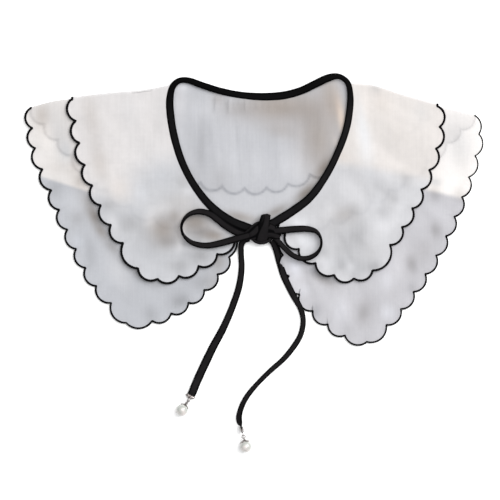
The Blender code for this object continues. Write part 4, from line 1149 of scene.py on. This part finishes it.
def build_cape(name, node, front_left, back, front_right, radius, mat, bead_widths, bead_tall):
    cape = "long" if radius == LONG_R else "short"
    share = np.linspace(0.0, 1.0, ROWS + 1)
    s_left, s_right = nearest_s(FOLD_LEFT[0]), nearest_s(FOLD_RIGHT[0])
    left_end, right_end = 6.0, BAND_ARC[-1] - 3.4
    folds = {"left": fold_path(FOLD_LEFT), "right": fold_path(FOLD_RIGHT)}
    fl_cusps, fl_arcs = scalloped(front_left, 1)
    bk_cusps, bk_arcs = scalloped(back, -1)
    fr_cusps, fr_arcs = scalloped(front_right, 1)

    def left_neck(t):
        s = left_end + (s_left - 1.5 - left_end) * min(t / 0.985, 1.0)
        p = beside_band(s, 1, 1.2)
        return p if t < 0.985 else p + (folds["left"][0][0, :2] - p) * (t - 0.985) / 0.015

    def right_neck(t):
        s = s_right + 1.5 + (right_end - s_right - 1.5) * max((t - 0.015) / 0.985, 0.0)
        p = beside_band(s, 1, 1.2)
        return p if t > 0.015 else p + (folds["right"][0][0, :2] - p) * (0.015 - t) / 0.015

    hem_xy = np.array(bk_cusps)
    hem_arc = np.concatenate([[0], np.cumsum(np.linalg.norm(np.diff(hem_xy, axis=0), axis=1))])
    middle = hem_arc[int(np.argmin(np.abs(hem_xy[:, 0] - 9.8)))]

    def back_neck(k):
        h = np.interp(k, range(len(hem_arc)), hem_arc)
        t = 0.5 * h / middle if h <= middle else 0.5 + 0.5 * (h - middle) / (hem_arc[-1] - middle)
        left = t < 0.5
        u = t / 0.5 if left else (1 - t) / 0.5
        corner = BACK_S - CORNER_LEFT if left else BACK_S + CORNER_RIGHT
        start = folds["left" if left else "right"][0][0, :2]
        if u < 0.08:
            return start + (beside_band(corner, -1, 0.6) - start) * u / 0.08
        return beside_band(corner + (BACK_S - corner) * (u - 0.08) / 0.92, -1, 0.6 + 1.0 * (u - 0.08) / 0.92)

    columns, colours, normals = [], [], []

    def flat_columns(cusps, arcs, neck, panel, seed):
        count = len(cusps) - 1
        outs = [arcs[k][SEGMENTS // 2 - 1] - (cusps[k] + cusps[k + 1]) / 2 for k in range(count)]
        outs = [v / np.linalg.norm(v) for v in outs]

        def bend_in(k, j, n, chord):
            """Moves a line of points inward where it runs along the hem, so
            that it meets the hem more squarely."""
            t = k + j / SEGMENTS
            out = np.array([np.interp(t, np.arange(count) + 0.5, [v[c] for v in outs]) for c in (0, 1)])
            way = (chord - n) / max(np.linalg.norm(chord - n), 1e-6)
            along = max(0.0, 1.0 - 1.3 * abs(float(np.dot(way, out)) / np.linalg.norm(out)))
            room = float(ramp(min(t, count - t) / 1.3))
            return -out * 17.0 * along * room * (4 * share**3 * (1 - share))[:, None], along

        for k in range(count):
            edge = [cusps[k]] + list(arcs[k])
            for j, hem in enumerate(edge):
                n = neck(k + j / SEGMENTS)
                chord = cusps[k] + (cusps[k + 1] - cusps[k]) * j / SEGMENTS
                moved, along = bend_in(k, j, n, chord) if panel == "front" else (0.0, 0.0)
                begin = 0.72 + 0.21 * min(1.6 * along, 1.0)
                xy = n + (chord - n) * share[:, None] + (hem - chord) * ramp((share - begin) / (1 - begin))[:, None] + moved
                z = panel_height(cape, panel, xy)
                # the edge between two points of the scallops ripples a little
                w = 0.32 if panel == "front" else 0.10
                ripple = w * math.sin(math.pi * j / SEGMENTS) * (0.6 + 0.8 * noise.noise(Vector((k * 1.7, seed, 0.0))))
                ripple -= 0.10 * w * math.cos(2 * math.pi * j / SEGMENTS)
                z = z + ripple * ramp((share - 0.86) / 0.14)
                columns.append(np.column_stack([xy, z]))
                colours.append(tone(cape, panel, xy))
                normals.append(np.array([0, 0, 1.0 if panel == "front" else -1.0]))

    def bend_columns(side, cusp, turns):
        pts, arc, _ = folds[side]
        reach = arc[int(np.argmin(np.linalg.norm(pts[:, :2] - np.array(cusp), axis=1)))]
        for a in turns:
            col = []
            for f in share:
                xy = at(pts, arc, reach * f)[:2]
                out = left_of(pts, arc, reach * f)
                if out[1] < 0:
                    out = -out
                col.append([xy[0] + out[0] * math.cos(a) * radius, xy[1] + out[1] * math.cos(a) * radius, AXIS_Z + math.sin(a) * radius])
            col = np.array(col)
            columns.append(col)
            k = 0.5 + 0.5 * math.sin(a)
            colours.append(tone(cape, "front", col) * k + tone(cape, "back", col) * (1 - k))
            d = at(pts, arc, reach)[:2] * 0
            out = left_of(pts, arc, reach)
            out = -out if out[1] < 0 else out
            normals.append(np.array([out[0] * math.cos(a), out[1] * math.cos(a), math.sin(a)]))

    turns = [math.pi * (k / BEND_STEPS - 0.5) for k in range(BEND_STEPS + 1)]
    n_left, n_right = len(fl_cusps) - 1, len(fr_cusps) - 1
    flat_columns(fl_cusps, fl_arcs, lambda k: left_neck(k / n_left), "front", 3.0)
    bend_columns("left", bk_cusps[0], list(reversed(turns)))
    flat_columns(bk_cusps, bk_arcs, back_neck, "back", 5.0)
    del columns[-len(bk_cusps[:-1]) * SEGMENTS], colours[-len(bk_cusps[:-1]) * SEGMENTS], normals[-len(bk_cusps[:-1]) * SEGMENTS]
    bend_columns("right", bk_cusps[-1], turns)
    before = len(columns)
    flat_columns(fr_cusps, fr_arcs, lambda k: right_neck(k / n_right), "front", 7.0)
    del columns[before], colours[before], normals[before]
    # the last edge, at the right front opening
    n = right_neck(1.0)
    xy = n + (np.array(fr_cusps[-1]) - n) * share[:, None]
    columns.append(np.column_stack([xy, panel_height(cape, "front", xy)]))
    colours.append(tone(cape, "front", xy))
    normals.append(np.array([0, 0, 1.0]))

    points = np.concatenate(columns)
    m = ROWS + 1
    faces = []
    for k in range(len(columns) - 1):
        for j in range(ROWS):
            a, b = k * m + j, (k + 1) * m + j
            faces.append((a, b, b + 1, a + 1))
    ob = make(name, points, faces, mat, "collar", replaces=(node,), attributes=[("tone", "FLOAT_COLOR", np.concatenate(colours))])

    # rolled black edge: up the left front opening, all round, up the right one
    rim = [c[-1] for c in columns]
    path = list(columns[0][3:-1]) + rim + list(columns[-1][3:-1][::-1])
    up = [normals[0]] * len(columns[0][3:-1]) + normals + [normals[-1]] * len(columns[-1][3:-1])
    edge = bead(name + "_edge", np.array(path), np.array(up), bead_widths, bead_tall)
    return ob


def bead(name, path, up, width_at, tall):
    """Rolled edge, overlocked in black: a small flattened tube with the swell of
    each stitch."""
    arc = np.concatenate([[0.0], np.cumsum(np.linalg.norm(np.diff(path, axis=0), axis=1))])
    count = int(arc[-1] / 0.5)
    s = np.linspace(0.0, arc[-1], count + 1)
    line = np.column_stack([np.interp(s, arc, path[:, c]) for c in range(3)])
    normal = np.column_stack([np.interp(s, arc, up[:, c]) for c in range(3)])
    normal /= np.linalg.norm(normal, axis=1)[:, None]
    sides = 7
    ring = [(math.cos(2 * math.pi * (j + 0.5) / sides), math.sin(2 * math.pi * (j + 0.5) / sides)) for j in range(sides)]
    widths = np.array([width_at(p) for p in line])
    swell = np.array([1.0 + 0.10 * math.sin(2 * math.pi * v / 1.9) + 0.12 * noise.noise(Vector((v * 0.35, 3.3, 1.1))) for v in s])

    def section(k):
        low = min(tall, line[k][2] * 0.96 if normal[k][2] < 0.2 else tall)
        return [(x * widths[k] / 2 * swell[k], y * low * swell[k]) for x, y in ring]

    points, faces, m = tube(line, section, normal)
    run = np.zeros((len(points), 3))
    for k in range(count + 1):
        run[k * m : (k + 1) * m, 0] = s[k] * MM
        run[k * m : (k + 1) * m, 1] = [j / sides * 0.003 for j in range(m)]
    ob = make(name, points, face_out(points, faces), THREAD, "collar", attributes=[("run", "FLOAT_VECTOR", run)])
    return ob


def short_edge_width(p):
    return 2.15 if p[0] < 8 else 2.0


def long_edge_width(p):
    if p[0] < 8:
        return 2.0 if p[1] > 0 else 1.8
    return 1.65 - 0.40 * float(ramp((p[0] - 140.0) / 20.0) * ramp((p[1] - 10.0) / 20.0))


LONG = build_cape(
    "cape_long", "long_cape", LONG_FRONT_LEFT, LONG_BACK, LONG_FRONT_RIGHT, LONG_R, CLOTH_LONG,
    long_edge_width, 0.50,
)
SHORT = build_cape(
    "cape_short", "short_cape", SHORT_FRONT_LEFT, SHORT_BACK, SHORT_FRONT_RIGHT, SHORT_R, CLOTH_SHORT,
    short_edge_width, 0.50,
)


# ---------------------------------------------------------------- tape
def tape_piece(name, node, rows, mat, square=3.0, step=0.8, sides=36, groove=0.14, seed=1.0, soft=0.0):
    """Folded tape carried along rows of x, y, z, width, thickness, roll: flat
    faces, rounded folds, a sunk seam line near both folds, slight puckers."""
    pts, arc, _ = curve(rows, 0.5)
    n = int(arc[-1] / step)
    ring_rows = np.array([at(pts, arc, arc[-1] * k / n) for k in range(n + 1)])
    points, run, faces = [], [], []
    for k, row in enumerate(ring_rows):
        ahead = ring_rows[min(k + 1, n)][:3] - ring_rows[max(k - 1, 0)][:3]
        t = Vector(ahead).normalized()
        s = Vector((0, 0, 1)).cross(t).normalized()
        u = t.cross(s)
        roll = Matrix.Rotation(math.radians(row[5]), 3, t)
        s, u = roll @ s, roll @ u
        along = arc[-1] * k / n
        wide = 1.0 + 0.035 * noise.noise(Vector((along * 0.11, seed, 0.0))) + 0.012 * noise.noise(Vector((along * 0.6, seed, 4.0)))
        for j in range(sides):
            a = 2 * math.pi * (j + 0.5) / sides
            ca, sa = math.cos(a), math.sin(a)
            x = math.copysign(abs(ca) ** (2 / square), ca)
            y = math.copysign(abs(sa) ** (2 / square), sa)
            sink = groove * math.exp(-(((abs(x) - 0.72) / 0.09) ** 2))
            pucker = 0.05 * noise.noise(Vector((along * 0.45, x * 2.2, seed + (3.0 if sa > 0 else 7.0))))
            flat = y * row[4] / 2 * (1 - 0.10 * x * x)
            flat -= math.copysign(min(sink, abs(flat)), sa) if abs(x) < 0.93 else 0.0
            p = Vector(row[:3]) + s * (x * (row[3] + soft) / 2 * wide) + u * (flat + math.copysign(pucker, sa) * 0.6)
            points.append((p.x, p.y, max(p.z, 0.02)))
            run.append((along * MM, x * row[3] / 2 * MM + (0.0 if sa > 0 else 0.01), abs(x)))
    for k in range(n):
        a, b = k * sides, (k + 1) * sides
        for j in range(sides):
            faces.append((a + j, a + (j + 1) % sides, b + (j + 1) % sides, b + j))
    faces.append(tuple(range(sides)))
    faces.append(tuple(n * sides + j for j in reversed(range(sides))))
    faces = face_out(points, faces)
    ob = make(name, points, faces, mat, "collar", replaces=(node,), attributes=[("run", "FLOAT_VECTOR", np.array(run))])
    length = float(np.sum(np.linalg.norm(np.diff(ring_rows[:, :3], axis=0), axis=1)))
    return ob, length


def to_mm(rows, on_fronts=False):
    out = [tuple([v * 1000 for v in r[:5]] + [r[5]]) for r in rows]
    if on_fronts:
        add = SHORT_LIFT * lift(np.array([r[:2] for r in out]))
        out = [(r[0], r[1], r[2] + a, *r[3:]) for r, a in zip(out, add)]
    return out


band_z = 0.03 + BAND_T / 2 + BAND_T - 0.03
band_rows = [(4.4, -18.9, band_z + 1.0, 6.8, BAND_T, 0.0)]  # both ends run into the knot
steps = int(BAND_ARC[-1] // 4)
for i in range(steps + 1):
    s = BAND_ARC[-1] * i / steps
    x, y, width = at(BAND, BAND_ARC, s)
    band_rows.append((x, y, 0.03 + BAND_T / 2 + (BAND_T - 0.03) * band_lift(s), width, BAND_T, 0.0))
band_rows.append((11.6, -13.6, band_z + 1.0, 7.0, BAND_T, 0.0))
tape_piece("binding", "neck_binding", band_rows, TAPE_BAND, 3.2, 0.8, 40, 0.16, 2.0)

rows_loop_left, rows_loop_right = to_mm(LOOP_LEFT, True), to_mm(LOOP_RIGHT, True)
# the left loop springs out a little at its turn
rows_loop_left = [(r[0] - 1.1 * math.exp(-(((r[0] + 59.0) / 9.0) ** 2)), r[1] + 0.5 * math.exp(-(((r[0] + 50.0) / 9.0) ** 2)) * float(r[1] > -12.0), *r[2:]) for r in rows_loop_left]
rows_tail_left, rows_tail_right = to_mm(TAIL_LEFT), to_mm(TAIL_RIGHT)
bow_left, long_loop_left = tape_piece("bow_loop_left", "loop_left", rows_loop_left, TAPE_TIE, seed=11.0)
bow_right, long_loop_right = tape_piece("bow_loop_right", "loop_right", rows_loop_right, TAPE_TIE, seed=12.0)
end_left, long_tail_left = tape_piece("tie_end_left", "tail_left", rows_tail_left, TAPE_TIE, seed=13.0, soft=TAPE_SOFT)
end_right, long_tail_right = tape_piece("tie_end_right", "tail_right", rows_tail_right, TAPE_TIE, seed=14.0, soft=TAPE_SOFT)

# ---------------------------------------------------------------- knot
KNOT_CORE = (  # x, y, z, half depth in y, half height
    (-6.8, -21.6, 6.6, 3.0, 1.4),
    (-4.6, -21.2, 6.7, 3.9, 1.9),
    (-1.6, -20.2, 6.7, 4.9, 2.4),
    (1.5, -18.8, 6.5, 6.0, 2.9),
    (5.0, -17.4, 6.2, 7.2, 3.2),
    (8.5, -16.8, 6.0, 7.8, 3.3),
    (12.0, -17.0, 6.0, 7.4, 3.2),
    (15.5, -18.0, 6.2, 6.4, 2.8),
    (18.6, -19.4, 6.5, 5.4, 2.2),
    (21.2, -20.8, 6.4, 4.8, 1.7),
    (22.8, -21.8, 6.3, 3.6, 1.1),
    (23.6, -22.3, 6.3, 1.8, 0.5),
)
STRAP = (  # the turn of tape over the knot: x, y, z, width, thickness
    (11.2, -7.2, 3.6, 7.4, 1.2),
    (11.4, -4.8, 4.3, 7.8, 1.3),
    (11.4, -3.6, 6.0, 8.0, 1.4),
    (11.2, -4.6, 8.0, 8.2, 1.4),
    (10.7, -7.6, 9.3, 8.8, 1.4),
    (10.0, -11.0, 9.9, 10.0, 1.4),
    (9.0, -15.0, 10.1, 12.2, 1.4),
    (8.0, -19.0, 9.9, 14.8, 1.4),
    (7.2, -22.6, 9.0, 16.6, 1.4),
    (6.9, -25.6, 7.5, 16.2, 1.4),
    (7.0, -26.6, 5.6, 14.2, 1.3),
    (7.2, -24.6, 4.2, 12.0, 1.2),
)
LIP = (  # lower turn, just showing under the upper one
    (-1.4, -22.6, 5.4, 3.2, 1.6),
    (1.6, -25.0, 5.6, 3.8, 2.2),
    (4.4, -26.4, 5.8, 4.2, 2.4),
    (7.4, -26.9, 5.9, 4.3, 2.4),
    (10.6, -26.4, 5.8, 4.2, 2.4),
    (13.6, -25.0, 5.6, 3.8, 2.2),
    (16.2, -22.8, 5.4, 3.2, 1.6),
)


def knot():
    core, arc, _ = curve(KNOT_CORE, 0.5, 3)
    ring = 48

    def core_section(k):
        row, out = core[k], []
        for j in range(ring):
            a = 2 * math.pi * j / ring
            pleat = 1 + 0.05 * math.sin(5 * a + row[0] * 0.22) + 0.03 * math.sin(9 * a - row[0] * 0.3 + 1.0)
            pleat *= 1 + 0.03 * noise.noise(Vector((row[0] * 0.3, math.cos(a) * 2, math.sin(a) * 2)))
            out.append((math.cos(a) * row[3] * pleat, math.sin(a) * row[4] * pleat))
        return out

    cp, cf, m = tube([np.array(r[:3]) for r in core], core_section, side_hint=np.array([0.0, 1.0, 0.0]))
    strap, arc, _ = curve(STRAP, 0.5, 3)
    sides = 40

    def strap_section(k):
        row, out = strap[k], []
        for j in range(sides):
            a = 2 * math.pi * (j + 0.5) / sides
            ca, sa = math.cos(a), math.sin(a)
            x = math.copysign(abs(ca) ** 0.62, ca)
            y = math.copysign(abs(sa) ** 0.62, sa)
            spread = float(ramp((-row[1] - 5.0) / 14.0))
            crease = 0.12 * math.sin(x * 4.2 + 0.6) + 0.10 * math.sin(x * 9.0 + row[1] * 0.16)
            crease += (0.45 * math.exp(-(((x - 0.15 - 0.030 * (row[1] + 14.0)) / 0.17) ** 2))) * spread
            crease -= (0.40 * math.exp(-(((x + 0.30 - 0.022 * (row[1] + 14.0)) / 0.12) ** 2))) * spread
            sag = -(0.7 + 2.6 * spread) * x * x
            out.append((x * row[3] / 2, y * row[4] / 2 + (crease + sag)))
        return out

    sp, sf, m2 = tube([np.array(r[:3]) for r in strap], strap_section, side_hint=np.array([1.0, 0.0, 0.0]))
    lip, _, _ = curve(LIP, 0.5, 3)

    def lip_section(k):
        row, out = lip[k], []
        for j in range(24):
            a = 2 * math.pi * j / 24
            pleat = 1 + 0.05 * math.sin(3 * a + row[0] * 0.25)
            out.append((math.cos(a) * row[3] / 2 * pleat, math.sin(a) * row[4] / 2 * pleat))
        return out

    lp, lf, m3 = tube([np.array(r[:3]) for r in lip], lip_section)
    cf = face_out(cp, cf)
    sf = face_out(sp, sf)
    lf = face_out(lp, lf)
    points = np.concatenate([cp, sp, lp])
    faces = list(cf) + [tuple(i + len(cp) for i in f) for f in sf]
    faces += [tuple(i + len(cp) + len(sp) for i in f) for f in lf]
    run = np.zeros((len(points), 3))
    run[:, 2] = 0.2
    for k in range(len(core)):
        for j in range(m):
            # painted shade: darker in the valleys of the pleats
            valley = max(0.0, -math.sin(5 * 2 * math.pi * j / m + core[k][0] * 0.22))
            run[k * m + j] = (core[k][0] * MM, j / m * 0.03, 0.42 + 0.5 * valley)
    for k in range(len(strap)):
        for j in range(m2):
            x = math.cos(2 * math.pi * (j + 0.5) / sides)
            x = math.copysign(abs(x) ** 0.62, x)
            # painted shade towards the strap's edges and along its crease, with a painted lighter strip just right of
            # its middle
            dark = 0.5 * math.exp(-(((x + 0.30 - 0.022 * (strap[k][1] + 14.0)) / 0.16) ** 2))
            run[len(cp) + k * m2 + j] = (arc[k] * MM, x * 0.006, min(0.95 * abs(x - 0.12) + dark, 1.0))
    return make("knot", points, faces, TAPE_TIE, "collar", replaces=("bow_knot",), attributes=[("run", "FLOAT_VECTOR", run)])


knot()


# ---------------------------------------------------------------- charms
def frame_of(direction, axis):
    x, z = Vector(direction).normalized(), Vector(axis).normalized()
    return Matrix((x, z.cross(x), z)).transposed()


def turned(turn, centre, rows):
    return [tuple(Vector(centre) + turn @ Vector(r)) for r in rows]


def wire_ring(centre, turn, radius, wire, around=48, across=12, gap=0.0):
    """Ring of round wire; gap is the angle left open at its split."""
    points, faces = [], []
    closed = gap == 0.0
    count = around if closed else around + 1
    for k in range(count):
        a = 2 * math.pi * k / around if closed else gap / 2 + (2 * math.pi - gap) * k / around
        for j in range(across):
            b = 2 * math.pi * j / across
            r = radius + wire * math.cos(b)
            points.append((r * math.cos(a), r * math.sin(a), wire * math.sin(b)))
    for k in range(around if closed else around):
        a, b = k * across, ((k + 1) % count) * across
        for j in range(across):
            faces.append((a + j, b + j, b + (j + 1) % across, a + (j + 1) % across))
    if not closed:
        faces.append(tuple(range(across)))
        faces.append(tuple(around * across + j for j in reversed(range(across))))
    points = turned(turn, centre, points)
    return points, face_out(points, faces)


def lathe(profile, around, wave=None):
    """Points and faces of a profile of (distance along X, radius) turned about
    X; wave(k, angle) may move a row."""
    points, faces = [], []
    for k, (h, r) in enumerate(profile):
        for j in range(around):
            a = 2 * math.pi * j / around
            hh, rr = wave(k, a, h, r) if wave else (h, r)
            points.append((hh, rr * math.cos(a), rr * math.sin(a)))
    n = len(profile)
    for k in range(n - 1):
        for j in range(around):
            a, b = k * around, (k + 1) * around
            faces.append((a + j, a + (j + 1) % around, b + (j + 1) % around, b + j))
    return points, faces


def merge(*parts):
    points, faces = [], []
    for p, f in parts:
        faces += [tuple(i + len(points) for i in q) for q in f]
        points += list(p)
    return points, faces


def crimp_shell(long):
    """Ribbon crimp: one plate folded over the tape, teeth at its edge, ribs
    pressed across, drawn in to its nose. X runs to the nose, Y across."""
    line = []
    turn_x = -3.4  # where the plate folds back, just behind the loop
    for k in range(17):
        x = -long + (long + turn_x) * k / 16
        rib = 0.13 * math.sin((x + long) * 2 * math.pi / 1.15) ** 3
        line.append((x, 1.22 + rib - 0.10 * ramp((x + 4.2) / 0.8)))
    for k in range(1, 12):
        a = math.pi * (0.5 - k / 12)
        line.append((turn_x + 1.15 * math.cos(a), 1.12 * math.sin(a)))
    for k in range(17):
        x = turn_x - (long + turn_x) * k / 16
        rib = 0.13 * math.sin((x + long) * 2 * math.pi / 1.15) ** 3
        line.append((x, -1.22 - rib + 0.10 * ramp((x + 4.2) / 0.8)))
    n, across = len(line), 33
    outer, inner = [], []
    for k, (x, z) in enumerate(line):
        a, b = line[max(k - 1, 0)], line[min(k + 1, n - 1)]
        t = np.array([b[0] - a[0], b[1] - a[1]])
        t /= np.linalg.norm(t)
        normal = np.array([-t[1], t[0]])
        half = 3.7 - 2.2 * float(ramp((x + 4.0) / 2.0))
        tooth_here = max(0.0, 1 - (x + long) / 0.7) if (k < 8 or k > n - 9) else 0.0
        for j in range(across):
            v = 2 * j / (across - 1) - 1
            tooth = 0.42 * tooth_here * abs((j / 4) % 2 - 1)
            bow = 0.18 * (1 - v * v) * (1 if z > 0 else -1) * float(ramp((-2.4 - x) / 2.0))
            roll = -0.28 * abs(v) ** 8 * (1 if z > 0 else -1)
            p = np.array([x + tooth, z + bow + roll])
            outer.append((p[0], v * half, p[1]))
            q = p - normal * 0.36
            inner.append((q[0], v * half, q[1]))
    points = outer + inner
    faces = []
    m = n * across
    for k in range(n - 1):
        for j in range(across - 1):
            a, b = k * across + j, (k + 1) * across + j
            faces.append((a, a + 1, b + 1, b))
            faces.append((m + a, m + b, m + b + 1, m + a + 1))
    for k in range(n - 1):
        a, b = k * across, (k + 1) * across
        faces.append((a, b, m + b, m + a))
        a, b = a + across - 1, b + across - 1
        faces.append((a, m + a, m + b, b))
    for k in (0, n - 1):
        for j in range(across - 1):
            a = k * across + j
            faces.append((a, m + a, m + a + 1, a + 1) if k == 0 else (a, a + 1, m + a + 1, m + a))
    return points, face_out(points, faces)


def block(x0, x1, y0, y1, z0, z1, round_by=0.1):
    """Small pressed tab with chamfered edges."""
    points, faces = [], []
    for z, cut in ((z0, round_by), (z0 + round_by, 0.0), (z1 - round_by, 0.0), (z1, round_by)):
        points += [(x0 + cut, y0 + cut, z), (x1 - cut, y0 + cut, z), (x1 - cut, y1 - cut, z), (x0 + cut, y1 - cut, z)]
    for k in range(3):
        for j in range(4):
            a, b = k * 4, (k + 1) * 4
            faces.append((a + j, a + (j + 1) % 4, b + (j + 1) % 4, b + j))
    faces.append((3, 2, 1, 0))
    faces.append((12, 13, 14, 15))
    return points, face_out(points, faces)


def cap_shell(inner, outer, petal_at):
    """Bead cap with five petals, one of them at that angle, each with a dent."""
    rows = []
    steps = 14
    for k in range(steps + 1):
        rows.append((inner, k / steps))
    for k in range(steps + 1):
        rows.append((outer, 1 - k / steps))
    around = 80
    points, faces = [], []
    for r0, f in rows:
        for j in range(around):
            t = 2 * math.pi * j / around
            petal = 0.5 + 0.5 * math.cos(5 * (t - petal_at))
            a = math.radians(4.0 + f * (27.0 + 19.0 * petal ** 0.8))
            dent = 0.10 * math.exp(-(((f - 0.62) / 0.2) ** 2)) * petal if r0 == outer else 0.0
            rim = 0.07 * math.exp(-(((f - 0.95) / 0.08) ** 2)) if r0 == outer else 0.0
            r = r0 - dent + rim
            points.append((r * math.cos(a), r * math.sin(a) * math.cos(t), r * math.sin(a) * math.sin(t)))
    n = len(rows)
    for k in range(n):
        a, b = k * around, ((k + 1) % n) * around
        for j in range(around):
            faces.append((a + j, a + (j + 1) % around, b + (j + 1) % around, b + j))
    return points, face_out(points, faces)


def ball(radius):
    """Pearl about X, slightly uneven, closed by a tiny flat face at each pole."""
    profile = []
    n = 40
    for k in range(n + 1):
        a = math.pi * k / n
        a = min(max(a, 0.006), math.pi - 0.006)
        profile.append((-radius * math.cos(a), radius * math.sin(a)))

    def wave(k, a, h, r):
        f = 1 + 0.010 * noise.noise(Vector((h * 0.35, r * math.cos(a) * 0.35, r * math.sin(a) * 0.35)))
        return h * f, r * f

    points, faces = lathe(profile, 64, wave)
    faces.append(tuple(range(64)))
    faces.append(tuple(n * 64 + j for j in reversed(range(64))))
    return points, face_out(points, faces)


for side, c in (("left", CHARM_LEFT), ("right", CHARM_RIGHT)):
    loop = Vector(c["loop"])
    along = Vector((*c["crimp"], 0.0)).normalized()
    hang = Vector((*c["hang"], 0.0)).normalized()
    z = Vector((0, 0, 1))
    hole = z if c["roll"] == 0.0 else hang.cross(z)
    turn = frame_of(along, hole)
    body = Vector((loop.x, loop.y, c["body_z"]))
    shell_points, shell_faces = crimp_shell(c["long"])
    ear = block(-4.6, -3.4, -4.5, -3.3, -0.25, 0.25) if side == "left" else block(-4.6, -3.4, -4.2, -3.3, -0.25, 0.25)
    shank = block(-2.9, -EYE_R + 0.1, -0.55, 0.55, -0.20, 0.20, 0.06)
    crimp_points, crimp_faces = merge(
        (turned(turn, body, shell_points), shell_faces),
        (turned(turn, body, ear[0]), ear[1]),
        (turned(turn, loop, shank[0]), shank[1]),
        wire_ring(loop, turn, EYE_R, WIRE_SHOWN),
    )
    crimp = make("crimp_metal_" + side, crimp_points, crimp_faces, METAL, "collar", replaces=("crimp_" + side,))
    crimp.data.set_sharp_from_angle(angle=math.radians(40))
    ring_turn = frame_of(hang, hang.cross(hole)) @ Matrix.Rotation(math.radians(110), 3, "Z")
    points, faces = wire_ring(loop + hang * LINK_R, ring_turn, LINK_R, WIRE_SHOWN, gap=0.16)
    ring = make("jump_ring_" + side, points, faces, METAL, "link_" + side, replaces=("ring_" + side,))
    eye = loop + hang * 2 * LINK_R
    reach = PEARL_R + GAP + 0.5 + 0.35 + EYE_R
    drop = PEARL_R + 0.05 - eye.z
    centre = eye + hang * math.sqrt(reach**2 - drop**2) + z * drop
    axis = (eye - centre).normalized()
    pearl_turn = frame_of(axis, z - axis * axis.z)
    points, faces = ball(PEARL_R)
    pearl = make("pearl_bead_" + side, turned(pearl_turn, centre, points), faces, PEARL, "charm_" + side, replaces=("pearl_" + side,))
    stem_profile = [(5.0, 0.01), (5.0, 2.2), (5.25, 2.1), (5.45, 1.75), (5.6, 1.20), (5.8, 0.95), (5.95, 1.0), (6.05, 0.85), (6.15, 0.45), (reach - EYE_R + 0.05, 0.34), (reach - EYE_R + 0.05, 0.01)]
    stem_points, stem_faces = lathe(stem_profile, 32)
    shell_points, shell_faces = cap_shell(PEARL_R + 0.12, PEARL_R + 0.55, math.radians(90 if side == "left" else -90))
    points, faces = merge(
        (turned(pearl_turn, centre, shell_points), shell_faces),
        (turned(pearl_turn, centre, stem_points), face_out(stem_points, stem_faces)),
        wire_ring(eye, frame_of(hang, hole), EYE_R, WIRE_SHOWN),
    )
    cap = make("pearl_cap_" + side, points, faces, METAL, "charm_" + side, replaces=("cap_" + side,))

# ---------------------------------------------------------------- light, floor
world = bpy.data.worlds.new("studio")
world.use_nodes = True
world.node_tree.nodes["Background"].inputs["Color"].default_value = (0.99, 0.995, 1.0, 1.0)
world.node_tree.nodes["Background"].inputs["Strength"].default_value = 0.49
scene.world = world

softbox = bpy.data.objects.new("softbox", bpy.data.lights.new("softbox", "AREA"))
softbox.data.shape = "SQUARE"
softbox.data.size = 2.2
softbox.data.energy = 54.0
softbox.location = (0.5, 0.4, 2.2)
softbox.rotation_euler = (Vector(softbox.location) - Vector((0.0, 0.0, 0.0))).to_track_quat("Z", "Y").to_euler()
scene.collection.objects.link(softbox)

key = bpy.data.objects.new("key_light", bpy.data.lights.new("key_light", "SUN"))
key.data.energy = 1.95
key.data.angle = math.radians(40)
key.data.color = (1.0, 0.995, 0.985)
elevation, azimuth = math.radians(40), math.radians(38)
toward = Vector((math.cos(elevation) * math.cos(azimuth), math.cos(elevation) * math.sin(azimuth), math.sin(elevation)))
key.rotation_euler = toward.to_track_quat("Z", "Y").to_euler()
key.location = toward * 2.0
scene.collection.objects.link(key)

floor_mesh = bpy.data.meshes.new("floor")
floor_mesh.from_pydata([(-4, -4, -0.0005), (4, -4, -0.0005), (4, 4, -0.0005), (-4, 4, -0.0005)], [], [(0, 1, 2, 3)])
paper = Tree("white_paper")
paper.put(
    paper.shader.inputs["Base Color"],
    paper.mix(paper.span(paper.noise(paper.place(), 60.0, 2.0), 0.3, 0.7, 0.0, 1.0), (0.93, 0.93, 0.93, 1.0), (0.95, 0.95, 0.95, 1.0)),
)
paper.shader.inputs["Roughness"].default_value = 0.95
paper.shader.inputs["Specular IOR Level"].default_value = 0.0
floor_mesh.materials.append(paper.mat)
floor = bpy.data.objects.new("floor", floor_mesh)
scene.collection.objects.link(floor)

print("lengths", long_tail_left, long_tail_right, long_loop_left, long_loop_right)
